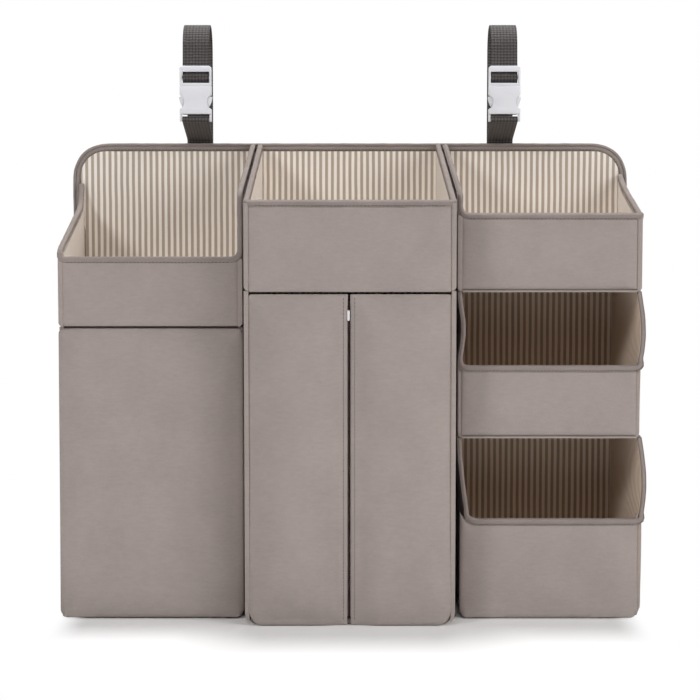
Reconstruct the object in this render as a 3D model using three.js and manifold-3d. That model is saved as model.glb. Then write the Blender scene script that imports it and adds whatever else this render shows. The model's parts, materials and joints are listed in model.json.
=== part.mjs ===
// Hanging crib organizer: three fabric columns of pockets and bins, sewn to one stiffened back panel
// that hangs from two buckled webbing loops.
// Millimetres. +X to the right, -Y towards the front, +Z up. The columns stand on z = 0, and the
// origin is under the middle of the whole depth.
import * as THREE from 'three';
import { mergeVertices } from 'three/addons/utils/BufferGeometryUtils.js';
import Module from 'manifold-3d';

// Gaps
const SEAM = 0.3; // between pieces that are sewn or seated together
const SWING = 0.6; // round a door, a flap or a slider that moves

// Back panel
const BODY_HEIGHT = 432;
const BACK_OVERHANG = 10; // how far the panel stands out past the side columns
const BACK_FOOT = 2; // the panel's lower edge above the ground
const BACK_TOP_RADIUS = 32;
const BACK_FOOT_RADIUS = 9;
const PANEL_THICKNESS = 6;
const LINING_THICKNESS = 0.8;
const EDGE_TAPE_WIDTH = 7.5;
const EDGE_TAPE_WALL = 1.2;
const PANEL_TONGUE = 2; // pressed edge of the panel inside its tape

// Columns
const CENTRE_WIDTH = 186;
const SIDE_WIDTH = 164;
const COLUMN_GAP = 3;
const CENTRE_DEPTH = 190;
const SIDE_DEPTH = 160;
const WALL = 4; // covered board of the side walls
const FRONT = 5; // padded front panels, doors and flap
const FLOOR = 5;
const SHELF = 3;
const FOOT_RADIUS = 12; // lower corners of the columns
const SHELF_RADIUS = 4; // lower corners of the upper pockets
const PADDING_EDGE = 1.2; // rounding of the padded panels' edges
const RIM_RADIUS = 3; // bead of folded tape on the pocket rims
const RIM_CORNER = 9; // where a rim turns up a wall
const FOLD_CORNER = 19; // the same on the lowest tier, whose inner wall folds in over the front
const RIM_NOSE = 7; // where a rim turns back along a wall

// Heights, to the top of a rim or the underside of a floor
const CENTRE_RIM = 376;
const CENTRE_POCKET_FOOT = 297;
const LEFT_RIM = 326;
const LEFT_POCKET_FOOT = 263.5;
const RIGHT_UPPER_RIM = 364.5;
const RIGHT_UPPER_FOOT = 295;
const RIGHT_MIDDLE_RIM = 229;
const RIGHT_MIDDLE_FOOT = 164;
const RIGHT_LOWER_RIM = 90.5;

// Falling upper edges of the outer walls: where the edge leaves the panel, and where its steep part ends,
// both down from the panel's top
const LEFT_EDGE_DROP = 37;
const LEFT_KNEE_DEPTH = 10;
const LEFT_KNEE_DROP = 59;
const LEFT_KNEE_RADIUS = 14;
const RIGHT_EDGE_DROP = 29;
const RIGHT_KNEE_DEPTH = 32;
const RIGHT_KNEE_DROP = 41;
const RIGHT_KNEE_RADIUS = 60;

// Doors, zip and drop flap
const SWING_FOOT = 1; // underside of the doors and the flap
const LEAF_DROP = 1.6; // upper edge of the doors and the flap below the pocket above
const LEAF_RADIUS = 4;
const SLIT = 3.8; // between the two doors
const SLIT_OFFSET = -0.8; // the slit lies a little left of the middle
const ZIP_TAPE_WIDTH = 12;
const ZIP_TAPE_THICKNESS = 0.8;
const ZIP_COIL_WIDTH = 0.9;
const ZIP_COIL_DEPTH = 1.6;
const ZIP_GAP = 1.2; // between the two coils, where the slider's divider runs
const ZIP_END = 6; // from the zip's ends to the doors' ends
const SLIDER_LENGTH = 9;
const SLIDER_PLATE = 1.2;
const SLIDER_DIVIDER = 0.4;
const SLIDER_BACK_WIDTH = 4;
const SLIDER_DROP = 15.4; // from the doors' upper edge to the top of the pull
const PULL_LENGTH = 9.4;
const PULL_WIDTH = 2.2;
const PULL_THICKNESS = 1.3;
const HEADER_HEIGHT = 27; // strip behind the flap's upper edge, which the flap fastens to
const HEADER_THICKNESS = 3;
const GRIP_TAPE_LENGTH = 110;
const GRIP_TAPE_HEIGHT = 16;
const GRIP_TAPE_THICKNESS = 1;
const GRIP_TAPE_DROP = 5; // from the flap's upper edge

// Webbing loops
const STRAP_SPACING = 292; // between the two straps' middles
const WEB_WIDTH = 25;
const WEB_THICKNESS = 1.4;
const LOOP_RISE = 112; // crest of the loop above the panel
const LOOP_DEPTH = 46; // from the run behind the panel to the run in front
const STRAP_SEWN = 85; // length sewn to the back of the panel
const STRAP_SPLICE = 68; // the back run reaches this far above the panel
const ANCHOR_SEWN = 44;
const ANCHOR_TURN = 4; // where the anchor leaves the panel's upper edge
const ANCHOR_TAIL = 30;
const TAIL_LENGTH = 30; // loose end behind the buckle

// Side-release buckle, measured up from the middle of the anchor bar
const BAR_RISE = 20.5; // the anchor bar above the panel
const BUCKLE_WIDTH = 30;
const BUCKLE_ARM = 2; // beside the webbing
const BAR_RADIUS = 1.7;
const SOCKET_THICKNESS = 7.6;
const SOCKET_FOOT = 5.2; // where the socket's body begins
const SOCKET_MOUTH = 31.6;
const WINDOW_FOOT = 10.8; // open sides for the latches
const WINDOW_TOP = 22.4;
const WAIST_WIDTH = 19;
const CAVITY_WIDTH = 25;
const CAVITY_THICKNESS = 4.4;
const LADDER_SILL = 34.6; // lower edge of the ladder window
const LADDER_HEAD = 45;
const LADDER_TOP = 50.6;
const LADDER_THICKNESS = 4.4;
const LADDER_BAR_RADIUS = 1.3;
const LADDER_BAR_SET = 1.5; // the middle bar behind the ladder's mid plane
const TONGUE_WIDTH = 5;
const TONGUE_LENGTH = 16;
const LATCH_THICKNESS = 3.6;
const LATCH_ARM = 2.6;
const LATCH_ROOT = 9; // inner side of a latch arm from the buckle's middle
const LATCH_REACH = 14.4; // outer side of the finger pad
const LATCH_TIP = 12; // the latch's lower end above the anchor bar

// Derived sizes shared by several pieces
const centreHalf = CENTRE_WIDTH / 2;
const sideMiddle = centreHalf + COLUMN_GAP + SIDE_WIDTH / 2;
const backHalf = sideMiddle + SIDE_WIDTH / 2 + BACK_OVERHANG;
const panelFront = LINING_THICKNESS + SEAM;
const panelRear = panelFront + PANEL_THICKNESS;
const depthShift = (CENTRE_DEPTH - panelRear) / 2;

// Finishes
const finish = (color, roughness) => new THREE.MeshStandardMaterial({ color, roughness, metalness: 0 });
const suede = finish(0x9e938e, 0.85);
const stripe = finish(0xc9bba9, 0.9);
const tape = finish(0x8b817d, 0.8);
const webbing = finish(0x504c4a, 0.9);
const plastic = finish(0xe4e5ea, 0.35);
const grip = finish(0x77706d, 0.95);

// Solid operations
const wasm = await Module();
wasm.setup();

function solidOf(geometry) {
  const bare = geometry.clone();
  bare.deleteAttribute('normal');
  bare.deleteAttribute('uv');
  const merged = mergeVertices(bare, 1e-4);
  const vertProperties = new Float32Array(merged.attributes.position.array);
  const triVerts = new Uint32Array(merged.index.array);
  return new wasm.Manifold(new wasm.Mesh({ numProp: 3, vertProperties, triVerts }));
}

function geometryOf(solid) {
  const mesh = solid.getMesh();
  const geometry = new THREE.BufferGeometry();
  geometry.setAttribute('position', new THREE.BufferAttribute(new Float32Array(mesh.vertProperties), 3));
  geometry.setIndex(new THREE.BufferAttribute(new Uint32Array(mesh.triVerts), 1));
  return geometry;
}

function join(first, ...others) {
  return geometryOf(others.reduce((solid, other) => solid.add(solidOf(other)), solidOf(first)));
}

function cut(first, ...others) {
  return geometryOf(others.reduce((solid, other) => solid.subtract(solidOf(other)), solidOf(first)));
}

function within(first, envelope) {
  return geometryOf(solidOf(first).intersect(solidOf(envelope)));
}

// Basic forms
function box(x0, x1, y0, y1, z0, z1) {
  const geometry = new THREE.BoxGeometry(x1 - x0, y1 - y0, z1 - z0);
  return geometry.translate((x0 + x1) / 2, (y0 + y1) / 2, (z0 + z1) / 2);
}

function extrude(shape, thickness, edge = 0) {
  const geometry = new THREE.ExtrudeGeometry(shape, {
    depth: thickness - 2 * edge,
    bevelEnabled: edge > 0,
    bevelSize: edge,
    bevelThickness: edge,
    bevelOffset: -edge,
    bevelSegments: 2,
    curveSegments: 6,
  });
  return geometry.translate(0, 0, edge);
}

// Outline in the front view (x, z), solid from yFront back to yBack
function frontPlate(shape, yFront, yBack, edge = 0) {
  return extrude(shape, yBack - yFront, edge).rotateX(Math.PI / 2).translate(0, yBack, 0);
}

// Outline in the side view (distance forward, z), solid from x0 to x1
function sidePlate(shape, x0, x1) {
  return extrude(shape, x1 - x0).rotateX(Math.PI / 2).rotateZ(-Math.PI / 2).translate(x1, 0, 0);
}

function roundedRect(x0, x1, z0, z1, footRadius, headRadius) {
  const shape = new THREE.Shape();
  shape.moveTo(x0 + footRadius, z0);
  shape.lineTo(x1 - footRadius, z0);
  if (footRadius > 0) shape.absarc(x1 - footRadius, z0 + footRadius, footRadius, -Math.PI / 2, 0);
  shape.lineTo(x1, z1 - headRadius);
  if (headRadius > 0) shape.absarc(x1 - headRadius, z1 - headRadius, headRadius, 0, Math.PI / 2);
  shape.lineTo(x0 + headRadius, z1);
  if (headRadius > 0) shape.absarc(x0 + headRadius, z1 - headRadius, headRadius, Math.PI / 2, Math.PI);
  shape.lineTo(x0, z0 + footRadius);
  if (footRadius > 0) shape.absarc(x0 + footRadius, z0 + footRadius, footRadius, Math.PI, 1.5 * Math.PI);
  return shape;
}

function shapeThrough(points) {
  return new THREE.Shape(points.map(([u, v]) => new THREE.Vector2(u, v)));
}

// Polyline through [x, y, z, radius] corners, each corner rounded over its radius
function roundedPath(corners) {
  const at = corners.map(([x, y, z]) => new THREE.Vector3(x, y, z));
  const path = [at[0]];
  for (let i = 1; i < at.length - 1; i += 1) {
    const radius = corners[i][3] ?? 0;
    if (radius === 0) {
      path.push(at[i]);
      continue;
    }
    const back = at[i - 1].clone().sub(at[i]).normalize();
    const ahead = at[i + 1].clone().sub(at[i]).normalize();
    const reach = radius * Math.tan((Math.PI - back.angleTo(ahead)) / 2);
    const start = at[i].clone().addScaledVector(back, reach);
    const end = at[i].clone().addScaledVector(ahead, reach);
    path.push(...new THREE.QuadraticBezierCurve3(start, at[i], end).getPoints(4));
  }
  path.push(at[at.length - 1]);
  return path;
}

// Closed section carried along a polyline, mitred at its corners and, where `facing` is given, cut off at
// both ends square to it. The section's first axis starts on `across`.
function sweep(path, section, across, facing) {
  const ways = path.slice(1).map((point, i) => point.clone().sub(path[i]).normalize());
  const upright = new THREE.Vector3().crossVectors(ways[0], across).normalize();
  const side = new THREE.Vector3().crossVectors(upright, ways[0]).normalize();
  const carry = (points, way, corner, plane) => points.map((point) => {
    const travel = corner.clone().sub(point).dot(plane) / way.dot(plane);
    return point.clone().addScaledVector(way, travel);
  });
  let ring = section.map(([a, b]) => path[0].clone().addScaledVector(side, a).addScaledVector(upright, b));
  ring = carry(ring, ways[0], path[0], facing ?? ways[0]);
  const rings = [ring];
  ways.forEach((way, i) => {
    const next = ways[i + 1];
    const plane = next ? way.clone().add(next).normalize() : facing ?? way;
    ring = carry(ring, way, path[i + 1], plane);
    rings.push(ring);
  });
  const count = section.length;
  const index = [];
  for (let r = 0; r < rings.length - 1; r += 1) {
    for (let k = 0; k < count; k += 1) {
      const a = r * count + k;
      const b = r * count + ((k + 1) % count);
      index.push(a, b, b + count, a, b + count, a + count);
    }
  }
  const last = (rings.length - 1) * count;
  const faces = THREE.ShapeUtils.triangulateShape(section.map(([a, b]) => new THREE.Vector2(a, b)), []);
  faces.forEach(([a, b, c]) => index.push(c, b, a, last + a, last + b, last + c));
  const geometry = new THREE.BufferGeometry();
  const positions = rings.flat().flatMap((point) => [point.x, point.y, point.z]);
  geometry.setAttribute('position', new THREE.Float32BufferAttribute(positions, 3));
  geometry.setIndex(index);
  return geometry;
}

const BEAD_SIDES = 8;

function roundSection(radius) {
  return Array.from({ length: BEAD_SIDES }, (_, k) => {
    const angle = ((k + 0.5) / BEAD_SIDES) * 2 * Math.PI;
    return [radius * Math.cos(angle), radius * Math.sin(angle)];
  });
}

const webSection = [
  [-WEB_WIDTH / 2, -WEB_THICKNESS / 2],
  [WEB_WIDTH / 2, -WEB_THICKNESS / 2],
  [WEB_WIDTH / 2, WEB_THICKNESS / 2],
  [-WEB_WIDTH / 2, WEB_THICKNESS / 2],
];

const acrossX = new THREE.Vector3(1, 0, 0);
const panelWay = new THREE.Vector3(0, 1, 0);
const bead = (path, facing) => sweep(path, roundSection(RIM_RADIUS), acrossX, facing);
const bed = (path, facing) => sweep(path, roundSection(RIM_RADIUS + SEAM), acrossX, facing);

// The part, its columns and its straps
const organizer = new THREE.Group();
const carcass = new THREE.Group();
carcass.position.y = depthShift;
organizer.add(carcass);

function groupAt(x) {
  const group = new THREE.Group();
  group.position.x = x;
  carcass.add(group);
  return group;
}

function add(group, name, geometry, material) {
  const mesh = new THREE.Mesh(geometry, material);
  mesh.name = name;
  group.add(mesh);
}

// Upper edge of the centre walls, and of the walls beside them, at a distance forward of the panel
function slopeAt(forward) {
  const fall = (CENTRE_RIM - BODY_HEIGHT) / (CENTRE_DEPTH - RIM_RADIUS);
  return BODY_HEIGHT - RIM_RADIUS + fall * forward;
}

// One column's compartment: its walls' inner and outer faces, its floor and the room for its front
function compartment(width, depth, foot, head, footRadius) {
  const half = width / 2;
  const inner = half - WALL;
  const shape = roundedRect(-half, half, foot, head, footRadius, 0);
  const envelope = frontPlate(shape, -depth - 1, 1);
  return { half, inner, depth, foot, head, envelope, rimY: -(depth - RIM_RADIUS) };
}

// A wall from its outline in the side view, on the left (-1) or right (+1) side of a compartment
function wall(room, side, outline, ...beds) {
  const x0 = side < 0 ? -room.half : room.inner;
  const plate = within(sidePlate(shapeThrough(outline), x0, x0 + WALL), room.envelope);
  return beds.length > 0 ? cut(plate, ...beds) : plate;
}

function plainWall(room, side, head) {
  const outline = [[SEAM, room.foot], [room.depth, room.foot], [room.depth, head], [SEAM, head]];
  return wall(room, side, outline);
}

// Floor between two walls, from the lining to `forward`
function floorBoard(room, thickness, forward) {
  const reach = room.inner - SEAM;
  const slab = box(-reach, reach, -forward, -SEAM, room.foot, room.foot + thickness);
  return within(slab, room.envelope);
}

// Front panel under a rim: its upper edge follows the rim between the two walls
function pocketFront(room, foot, path, ...beds) {
  const reach = room.inner - SEAM;
  const onFront = (point) => Math.abs(point.y - room.rimY) < 0.01;
  const ends = [-reach, reach].map((x) => {
    const crosses = (a, b) => (a.x - x) * (b.x - x) <= 0 && onFront(a) && onFront(b);
    const next = path.findIndex((point, i) => i > 0 && crosses(path[i - 1], point));
    const a = path[next - 1];
    const b = path[next];
    return [x, a.z + ((x - a.x) / (b.x - a.x)) * (b.z - a.z)];
  });
  const rim = path.filter((point) => Math.abs(point.x) < reach && onFront(point));
  const upper = rim.map((point) => [point.x, point.z]).sort((a, b) => b[0] - a[0]);
  const outline = [[-reach, foot], [reach, foot], ends[1], ...upper, ends[0]];
  const plate = frontPlate(shapeThrough(outline), -room.depth, -room.depth + FRONT, PADDING_EDGE);
  return cut(within(plate, room.envelope), ...beds);
}

// Back panel
function backOutline(inset) {
  const radius = BACK_TOP_RADIUS - inset;
  const footRadius = Math.max(BACK_FOOT_RADIUS - inset, 0.5);
  const half = backHalf - inset;
  return roundedRect(-half, half, BACK_FOOT + inset, BODY_HEIGHT - inset, footRadius, radius);
}

const strapRecess = 2 * WEB_THICKNESS + 2 * SEAM + SEAM / 2;
const strapMiddle = STRAP_SPACING / 2;

function strapSlots() {
  const half = WEB_WIDTH / 2 + SEAM;
  const foot = BODY_HEIGHT - STRAP_SEWN - SEAM;
  return [-strapMiddle, strapMiddle].map((x) =>
    box(x - half, x + half, panelRear - strapRecess, panelRear + 1, foot, BODY_HEIGHT + 1));
}

function buildBack() {
  const group = groupAt(0);
  const tongueFront = panelFront + (PANEL_THICKNESS - PANEL_TONGUE) / 2 - 1;
  const tongueRear = tongueFront + PANEL_TONGUE;
  const core = frontPlate(backOutline(EDGE_TAPE_WIDTH + SEAM), panelFront, panelRear);
  const tongue = frontPlate(backOutline(EDGE_TAPE_WALL + SEAM), tongueFront, tongueRear);
  add(group, 'back_panel', cut(join(core, tongue), ...strapSlots()), suede);

  const lining = frontPlate(backOutline(EDGE_TAPE_WIDTH + SEAM), 0, LINING_THICKNESS);
  add(group, 'back_lining', lining, stripe);

  const outer = frontPlate(backOutline(0), 0, panelRear);
  const opening = frontPlate(backOutline(EDGE_TAPE_WIDTH), -1, panelRear + 1);
  const groove = frontPlate(backOutline(EDGE_TAPE_WALL), tongueFront - SEAM, tongueRear + SEAM);
  add(group, 'back_edge_tape', cut(outer, opening, groove, ...strapSlots()), tape);
}

// Left column: an open pocket over a bin with a drop flap
function buildLeftColumn() {
  const group = groupAt(-sideMiddle);
  const pocket = compartment(SIDE_WIDTH, SIDE_DEPTH, LEFT_POCKET_FOOT, BODY_HEIGHT, SHELF_RADIUS);
  const mid = pocket.inner + WALL / 2;
  const rimZ = LEFT_RIM - RIM_RADIUS;
  const front = SIDE_DEPTH - RIM_RADIUS;
  const startZ = BODY_HEIGHT - LEFT_EDGE_DROP - RIM_RADIUS;
  const kneeZ = BODY_HEIGHT - LEFT_KNEE_DROP - RIM_RADIUS;
  const outerEdge = [
    [-mid, -SEAM, startZ],
    [-mid, -LEFT_KNEE_DEPTH, kneeZ, LEFT_KNEE_RADIUS],
    [-mid, -front, rimZ],
  ];
  const path = roundedPath([
    ...outerEdge,
    [mid, -front, rimZ, RIM_CORNER],
    [mid, -front, slopeAt(front), RIM_NOSE],
    [mid, -SEAM, slopeAt(SEAM)],
  ]);
  const seat = bed(path, panelWay);
  const edge = roundedPath([...outerEdge, [-mid, -SIDE_DEPTH, rimZ]]).map((point) => [-point.y, point.z]);
  const outerOutline = [[SEAM, pocket.foot], [SIDE_DEPTH, pocket.foot], ...edge.reverse()];
  add(group, 'left_pocket_outer_wall', wall(pocket, -1, outerOutline, seat), suede);
  add(group, 'left_pocket_inner_wall', wall(pocket, 1, tallWallOutline(pocket, rimZ), seat), suede);
  add(group, 'left_pocket_floor', floorBoard(pocket, SHELF, SIDE_DEPTH - FRONT - SEAM), stripe);
  add(group, 'left_pocket_front', pocketFront(pocket, pocket.foot, path, seat), suede);
  add(group, 'left_pocket_rim', bead(path, panelWay), tape);

  // The flap covers the bin's whole front, and the walls and the floor stop behind it
  const head = LEFT_POCKET_FOOT - SEAM;
  const bin = compartment(SIDE_WIDTH, SIDE_DEPTH - FRONT - SEAM, 0, head, FOOT_RADIUS);
  add(group, 'left_bin_outer_wall', plainWall(bin, -1, head), suede);
  add(group, 'left_bin_inner_wall', plainWall(bin, 1, head), suede);
  add(group, 'left_bin_floor', floorBoard(bin, FLOOR, bin.depth), stripe);
  const flapHead = LEFT_POCKET_FOOT - LEAF_DROP;
  const footRadius = FOOT_RADIUS - SWING_FOOT;
  const flapShape = roundedRect(-bin.half, bin.half, SWING_FOOT, flapHead, footRadius, LEAF_RADIUS);
  const flap = frontPlate(flapShape, -SIDE_DEPTH, -SIDE_DEPTH + FRONT, PADDING_EDGE);
  add(group, 'left_bin_flap', flap, suede);

  // Hook and loop tapes hold the flap's upper edge to a header strip under the pocket's floor
  const hookY = -SIDE_DEPTH + FRONT + SEAM;
  const loopY = hookY + GRIP_TAPE_THICKNESS + SEAM;
  const headerY = loopY + GRIP_TAPE_THICKNESS + SEAM;
  const headerHalf = bin.inner - SEAM;
  const tapeHead = flapHead - GRIP_TAPE_DROP;
  const gripStrip = (y) => box(-GRIP_TAPE_LENGTH / 2, GRIP_TAPE_LENGTH / 2, y, y + GRIP_TAPE_THICKNESS,
    tapeHead - GRIP_TAPE_HEIGHT, tapeHead);
  const headerRear = headerY + HEADER_THICKNESS;
  const header = box(-headerHalf, headerHalf, headerY, headerRear, head - HEADER_HEIGHT, head);
  add(group, 'left_bin_header', header, suede);
  add(group, 'flap_hook_tape', gripStrip(hookY), grip);
  add(group, 'flap_loop_tape', gripStrip(loopY), grip);
}

// Outline of a wall that stands above the rim beside it and falls along the common slope
function tallWallOutline(room, rimZ) {
  const front = room.depth - RIM_RADIUS;
  return [
    [SEAM, room.foot],
    [room.depth, room.foot],
    [room.depth, rimZ],
    [front, rimZ],
    [front, slopeAt(front)],
    [SEAM, slopeAt(SEAM)],
  ];
}

// Centre column: an open pocket over a cupboard with two zipped doors
function buildCentreColumn() {
  const group = groupAt(0);
  const pocket = compartment(CENTRE_WIDTH, CENTRE_DEPTH, CENTRE_POCKET_FOOT, BODY_HEIGHT, SHELF_RADIUS);
  const mid = pocket.inner + WALL / 2;
  const front = CENTRE_DEPTH - RIM_RADIUS;
  const path = roundedPath([
    [-mid, -SEAM, slopeAt(SEAM)],
    [-mid, -front, slopeAt(front)],
    [mid, -front, slopeAt(front)],
    [mid, -SEAM, slopeAt(SEAM)],
  ]);
  const seat = bed(path, panelWay);
  const outline = [
    [SEAM, pocket.foot],
    [CENTRE_DEPTH, pocket.foot],
    [CENTRE_DEPTH, slopeAt(front)],
    [front, slopeAt(front)],
    [SEAM, slopeAt(SEAM)],
  ];
  add(group, 'centre_pocket_left_wall', wall(pocket, -1, outline, seat), suede);
  add(group, 'centre_pocket_right_wall', wall(pocket, 1, outline, seat), suede);
  add(group, 'centre_pocket_floor', floorBoard(pocket, SHELF, CENTRE_DEPTH - FRONT - SEAM), stripe);
  add(group, 'centre_pocket_front', pocketFront(pocket, pocket.foot, path, seat), suede);
  add(group, 'centre_pocket_rim', bead(path, panelWay), tape);

  const head = CENTRE_POCKET_FOOT - SEAM;
  const cupboard = compartment(CENTRE_WIDTH, CENTRE_DEPTH, 0, head, FOOT_RADIUS);
  add(group, 'cupboard_left_wall', plainWall(cupboard, -1, head), suede);
  add(group, 'cupboard_right_wall', plainWall(cupboard, 1, head), suede);
  add(group, 'cupboard_floor', floorBoard(cupboard, FLOOR, CENTRE_DEPTH - FRONT - SEAM), stripe);

  const doorHead = CENTRE_POCKET_FOOT - LEAF_DROP;
  const hingeX = cupboard.inner - SWING;
  const doorSpans = { left: [-hingeX, SLIT_OFFSET - SLIT / 2], right: [SLIT_OFFSET + SLIT / 2, hingeX] };
  for (const [side, [x0, x1]] of Object.entries(doorSpans)) {
    const shape = roundedRect(x0, x1, SWING_FOOT, doorHead, 0, LEAF_RADIUS);
    const leaf = frontPlate(shape, -CENTRE_DEPTH, -CENTRE_DEPTH + FRONT, PADDING_EDGE);
    add(group, `cupboard_${side}_door`, within(leaf, cupboard.envelope), suede);
  }
  buildZip(group, doorHead);
}

// Zip between the doors: a tape and coil behind each door's edge, with a slider and its pull on the left coil
function buildZip(group, doorHead) {
  const tapeFront = -CENTRE_DEPTH + FRONT + SEAM;
  const coilFront = tapeFront - ZIP_COIL_DEPTH;
  const foot = SWING_FOOT + ZIP_END;
  const head = doorHead - ZIP_END;
  for (const [side, way] of [['left', -1], ['right', 1]]) {
    const span = (near, far) => [SLIT_OFFSET + way * near, SLIT_OFFSET + way * far].sort((a, b) => a - b);
    const coilX = span(ZIP_GAP / 2, ZIP_GAP / 2 + ZIP_COIL_WIDTH);
    const tapeX = span(ZIP_GAP / 2, ZIP_GAP / 2 + ZIP_TAPE_WIDTH);
    const tapeStrip = box(...tapeX, tapeFront, tapeFront + ZIP_TAPE_THICKNESS, foot, head);
    const coil = box(...coilX, coilFront, tapeFront + ZIP_TAPE_THICKNESS / 2, foot, head);
    add(group, `zip_${side}_half`, join(tapeStrip, coil), webbing);
  }

  // The slider is open towards the left tape, and its divider runs between the coils
  const pullHead = doorHead - SLIDER_DROP;
  const sliderHead = pullHead - SEAM;
  const sliderFoot = sliderHead - SLIDER_LENGTH;
  const dividerX = [SLIT_OFFSET - SLIDER_DIVIDER / 2, SLIT_OFFSET + SLIDER_DIVIDER / 2];
  const faceX0 = SLIT_OFFSET - ZIP_GAP / 2 - ZIP_COIL_WIDTH;
  const faceBack = coilFront - SEAM;
  const faceFront = faceBack - SLIDER_PLATE;
  const plateFront = tapeFront + ZIP_TAPE_THICKNESS + SEAM;
  const plateBack = plateFront + SLIDER_PLATE;
  const face = box(faceX0, dividerX[1], faceFront, faceBack, sliderFoot, sliderHead);
  const divider = box(...dividerX, faceFront, plateBack, sliderFoot, sliderHead);
  const backX0 = SLIT_OFFSET - SLIDER_BACK_WIDTH;
  const plate = box(backX0, dividerX[1], plateFront, plateBack, sliderFoot, sliderHead);
  add(group, 'zip_slider', join(face, divider, plate), plastic);

  const pullX0 = SLIT_OFFSET - SLIT / 2 + SEAM;
  const pullFoot = pullHead - PULL_LENGTH;
  const pullEnd = PULL_WIDTH / 2;
  const pullShape = roundedRect(pullX0, pullX0 + PULL_WIDTH, pullFoot, pullHead, pullEnd, pullEnd);
  const pullBack = faceFront - SEAM;
  add(group, 'zip_pull', frontPlate(pullShape, pullBack - PULL_THICKNESS, pullBack), plastic);
}

// Right column: three open pockets, one above another
function buildRightColumn() {
  const group = groupAt(sideMiddle);
  const front = SIDE_DEPTH - RIM_RADIUS;
  const upper = compartment(SIDE_WIDTH, SIDE_DEPTH, RIGHT_UPPER_FOOT, BODY_HEIGHT, SHELF_RADIUS);
  const mid = upper.inner + WALL / 2;
  const rimZ = RIGHT_UPPER_RIM - RIM_RADIUS;
  const startZ = BODY_HEIGHT - RIGHT_EDGE_DROP - RIM_RADIUS;
  const kneeZ = BODY_HEIGHT - RIGHT_KNEE_DROP - RIM_RADIUS;
  const outerEdge = [
    [mid, -front, rimZ],
    [mid, -RIGHT_KNEE_DEPTH, kneeZ, RIGHT_KNEE_RADIUS],
    [mid, -SEAM, startZ],
  ];
  const path = roundedPath([
    [-mid, -SEAM, slopeAt(SEAM)],
    [-mid, -front, slopeAt(front), RIM_NOSE],
    [-mid, -front, rimZ, RIM_CORNER],
    ...outerEdge,
  ]);
  const seat = bed(path, panelWay);
  const edge = roundedPath([[mid, -SIDE_DEPTH, rimZ], ...outerEdge]).map((point) => [-point.y, point.z]);
  const outerOutline = [[SEAM, upper.foot], [SIDE_DEPTH, upper.foot], ...edge];
  add(group, 'right_upper_inner_wall', wall(upper, -1, tallWallOutline(upper, rimZ), seat), suede);
  add(group, 'right_upper_outer_wall', wall(upper, 1, outerOutline, seat), suede);
  add(group, 'right_upper_floor', floorBoard(upper, SHELF, SIDE_DEPTH), stripe);
  add(group, 'right_upper_front', pocketFront(upper, upper.foot + SHELF + SEAM, path, seat), suede);
  add(group, 'right_upper_rim', bead(path, panelWay), tape);

  const middleHead = RIGHT_UPPER_FOOT - SEAM;
  const middle = compartment(SIDE_WIDTH, SIDE_DEPTH, RIGHT_MIDDLE_FOOT, middleHead, SHELF_RADIUS);
  const middleFront = RIGHT_MIDDLE_FOOT + SHELF + SEAM;
  buildOpenTier(group, 'right_middle', middle, RIGHT_MIDDLE_RIM, SHELF, middleFront, RIM_CORNER);

  const lowerHead = RIGHT_MIDDLE_FOOT - SEAM;
  const lower = compartment(SIDE_WIDTH, SIDE_DEPTH, 0, lowerHead, FOOT_RADIUS);
  buildOpenTier(group, 'right_lower', lower, RIGHT_LOWER_RIM, FLOOR, lower.foot, FOLD_CORNER);
}

// A tier whose rim runs down one wall's front edge, along the low front and up the other wall
function buildOpenTier(group, name, room, rimTop, thickness, frontFoot, innerCorner) {
  const mid = room.inner + WALL / 2;
  const rimZ = rimTop - RIM_RADIUS;
  const front = room.depth - RIM_RADIUS;
  const path = roundedPath([
    [-mid, -front, room.head],
    [-mid, -front, rimZ, innerCorner],
    [mid, -front, rimZ, RIM_CORNER],
    [mid, -front, room.head],
  ]);
  const seat = bed(path);
  const outline = [
    [SEAM, room.foot],
    [room.depth, room.foot],
    [room.depth, rimZ],
    [front, rimZ],
    [front, room.head],
    [SEAM, room.head],
  ];
  const floorReach = frontFoot > room.foot ? room.depth : room.depth - FRONT - SEAM;
  add(group, `${name}_inner_wall`, wall(room, -1, outline, seat), suede);
  add(group, `${name}_outer_wall`, wall(room, 1, outline, seat), suede);
  add(group, `${name}_floor`, floorBoard(room, thickness, floorReach), stripe);
  add(group, `${name}_front`, pocketFront(room, frontFoot, path, seat), suede);
  add(group, `${name}_rim`, bead(path), tape);
}

// Straps. Heights in the buckle are measured from the middle of the anchor bar.
const barZ = BODY_HEIGHT + BAR_RISE;
const backRunY = panelRear - SEAM / 2 - WEB_THICKNESS / 2;
const frontRunY = backRunY - LOOP_DEPTH;
const socketRear = frontRunY - WEB_THICKNESS / 2 - SEAM;
const buckleY = socketRear - SOCKET_THICKNESS / 2;

function webAlong(path) {
  return sweep(path, webSection, acrossX);
}

function buildStrap(side, x) {
  const group = groupAt(x);
  const spliceZ = BODY_HEIGHT + STRAP_SPLICE;
  const backRun = [[0, backRunY, BODY_HEIGHT - STRAP_SEWN], [0, backRunY, spliceZ]];
  add(group, `${side}_strap_back`, webAlong(roundedPath(backRun)), webbing);
  add(group, `${side}_strap_front`, webAlong(frontRun(spliceZ + SEAM)), webbing);
  add(group, `${side}_strap_anchor`, webAlong(anchorRun()), webbing);
  add(group, `${side}_buckle_plug`, plugForm(), plastic);
  add(group, `${side}_buckle_socket`, socketForm(), plastic);
  const outer = side === 'left' ? -1 : 1;
  add(group, `${side}_buckle_outer_latch`, latchForm(outer), plastic);
  add(group, `${side}_buckle_inner_latch`, latchForm(-outer), plastic);
}

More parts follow.
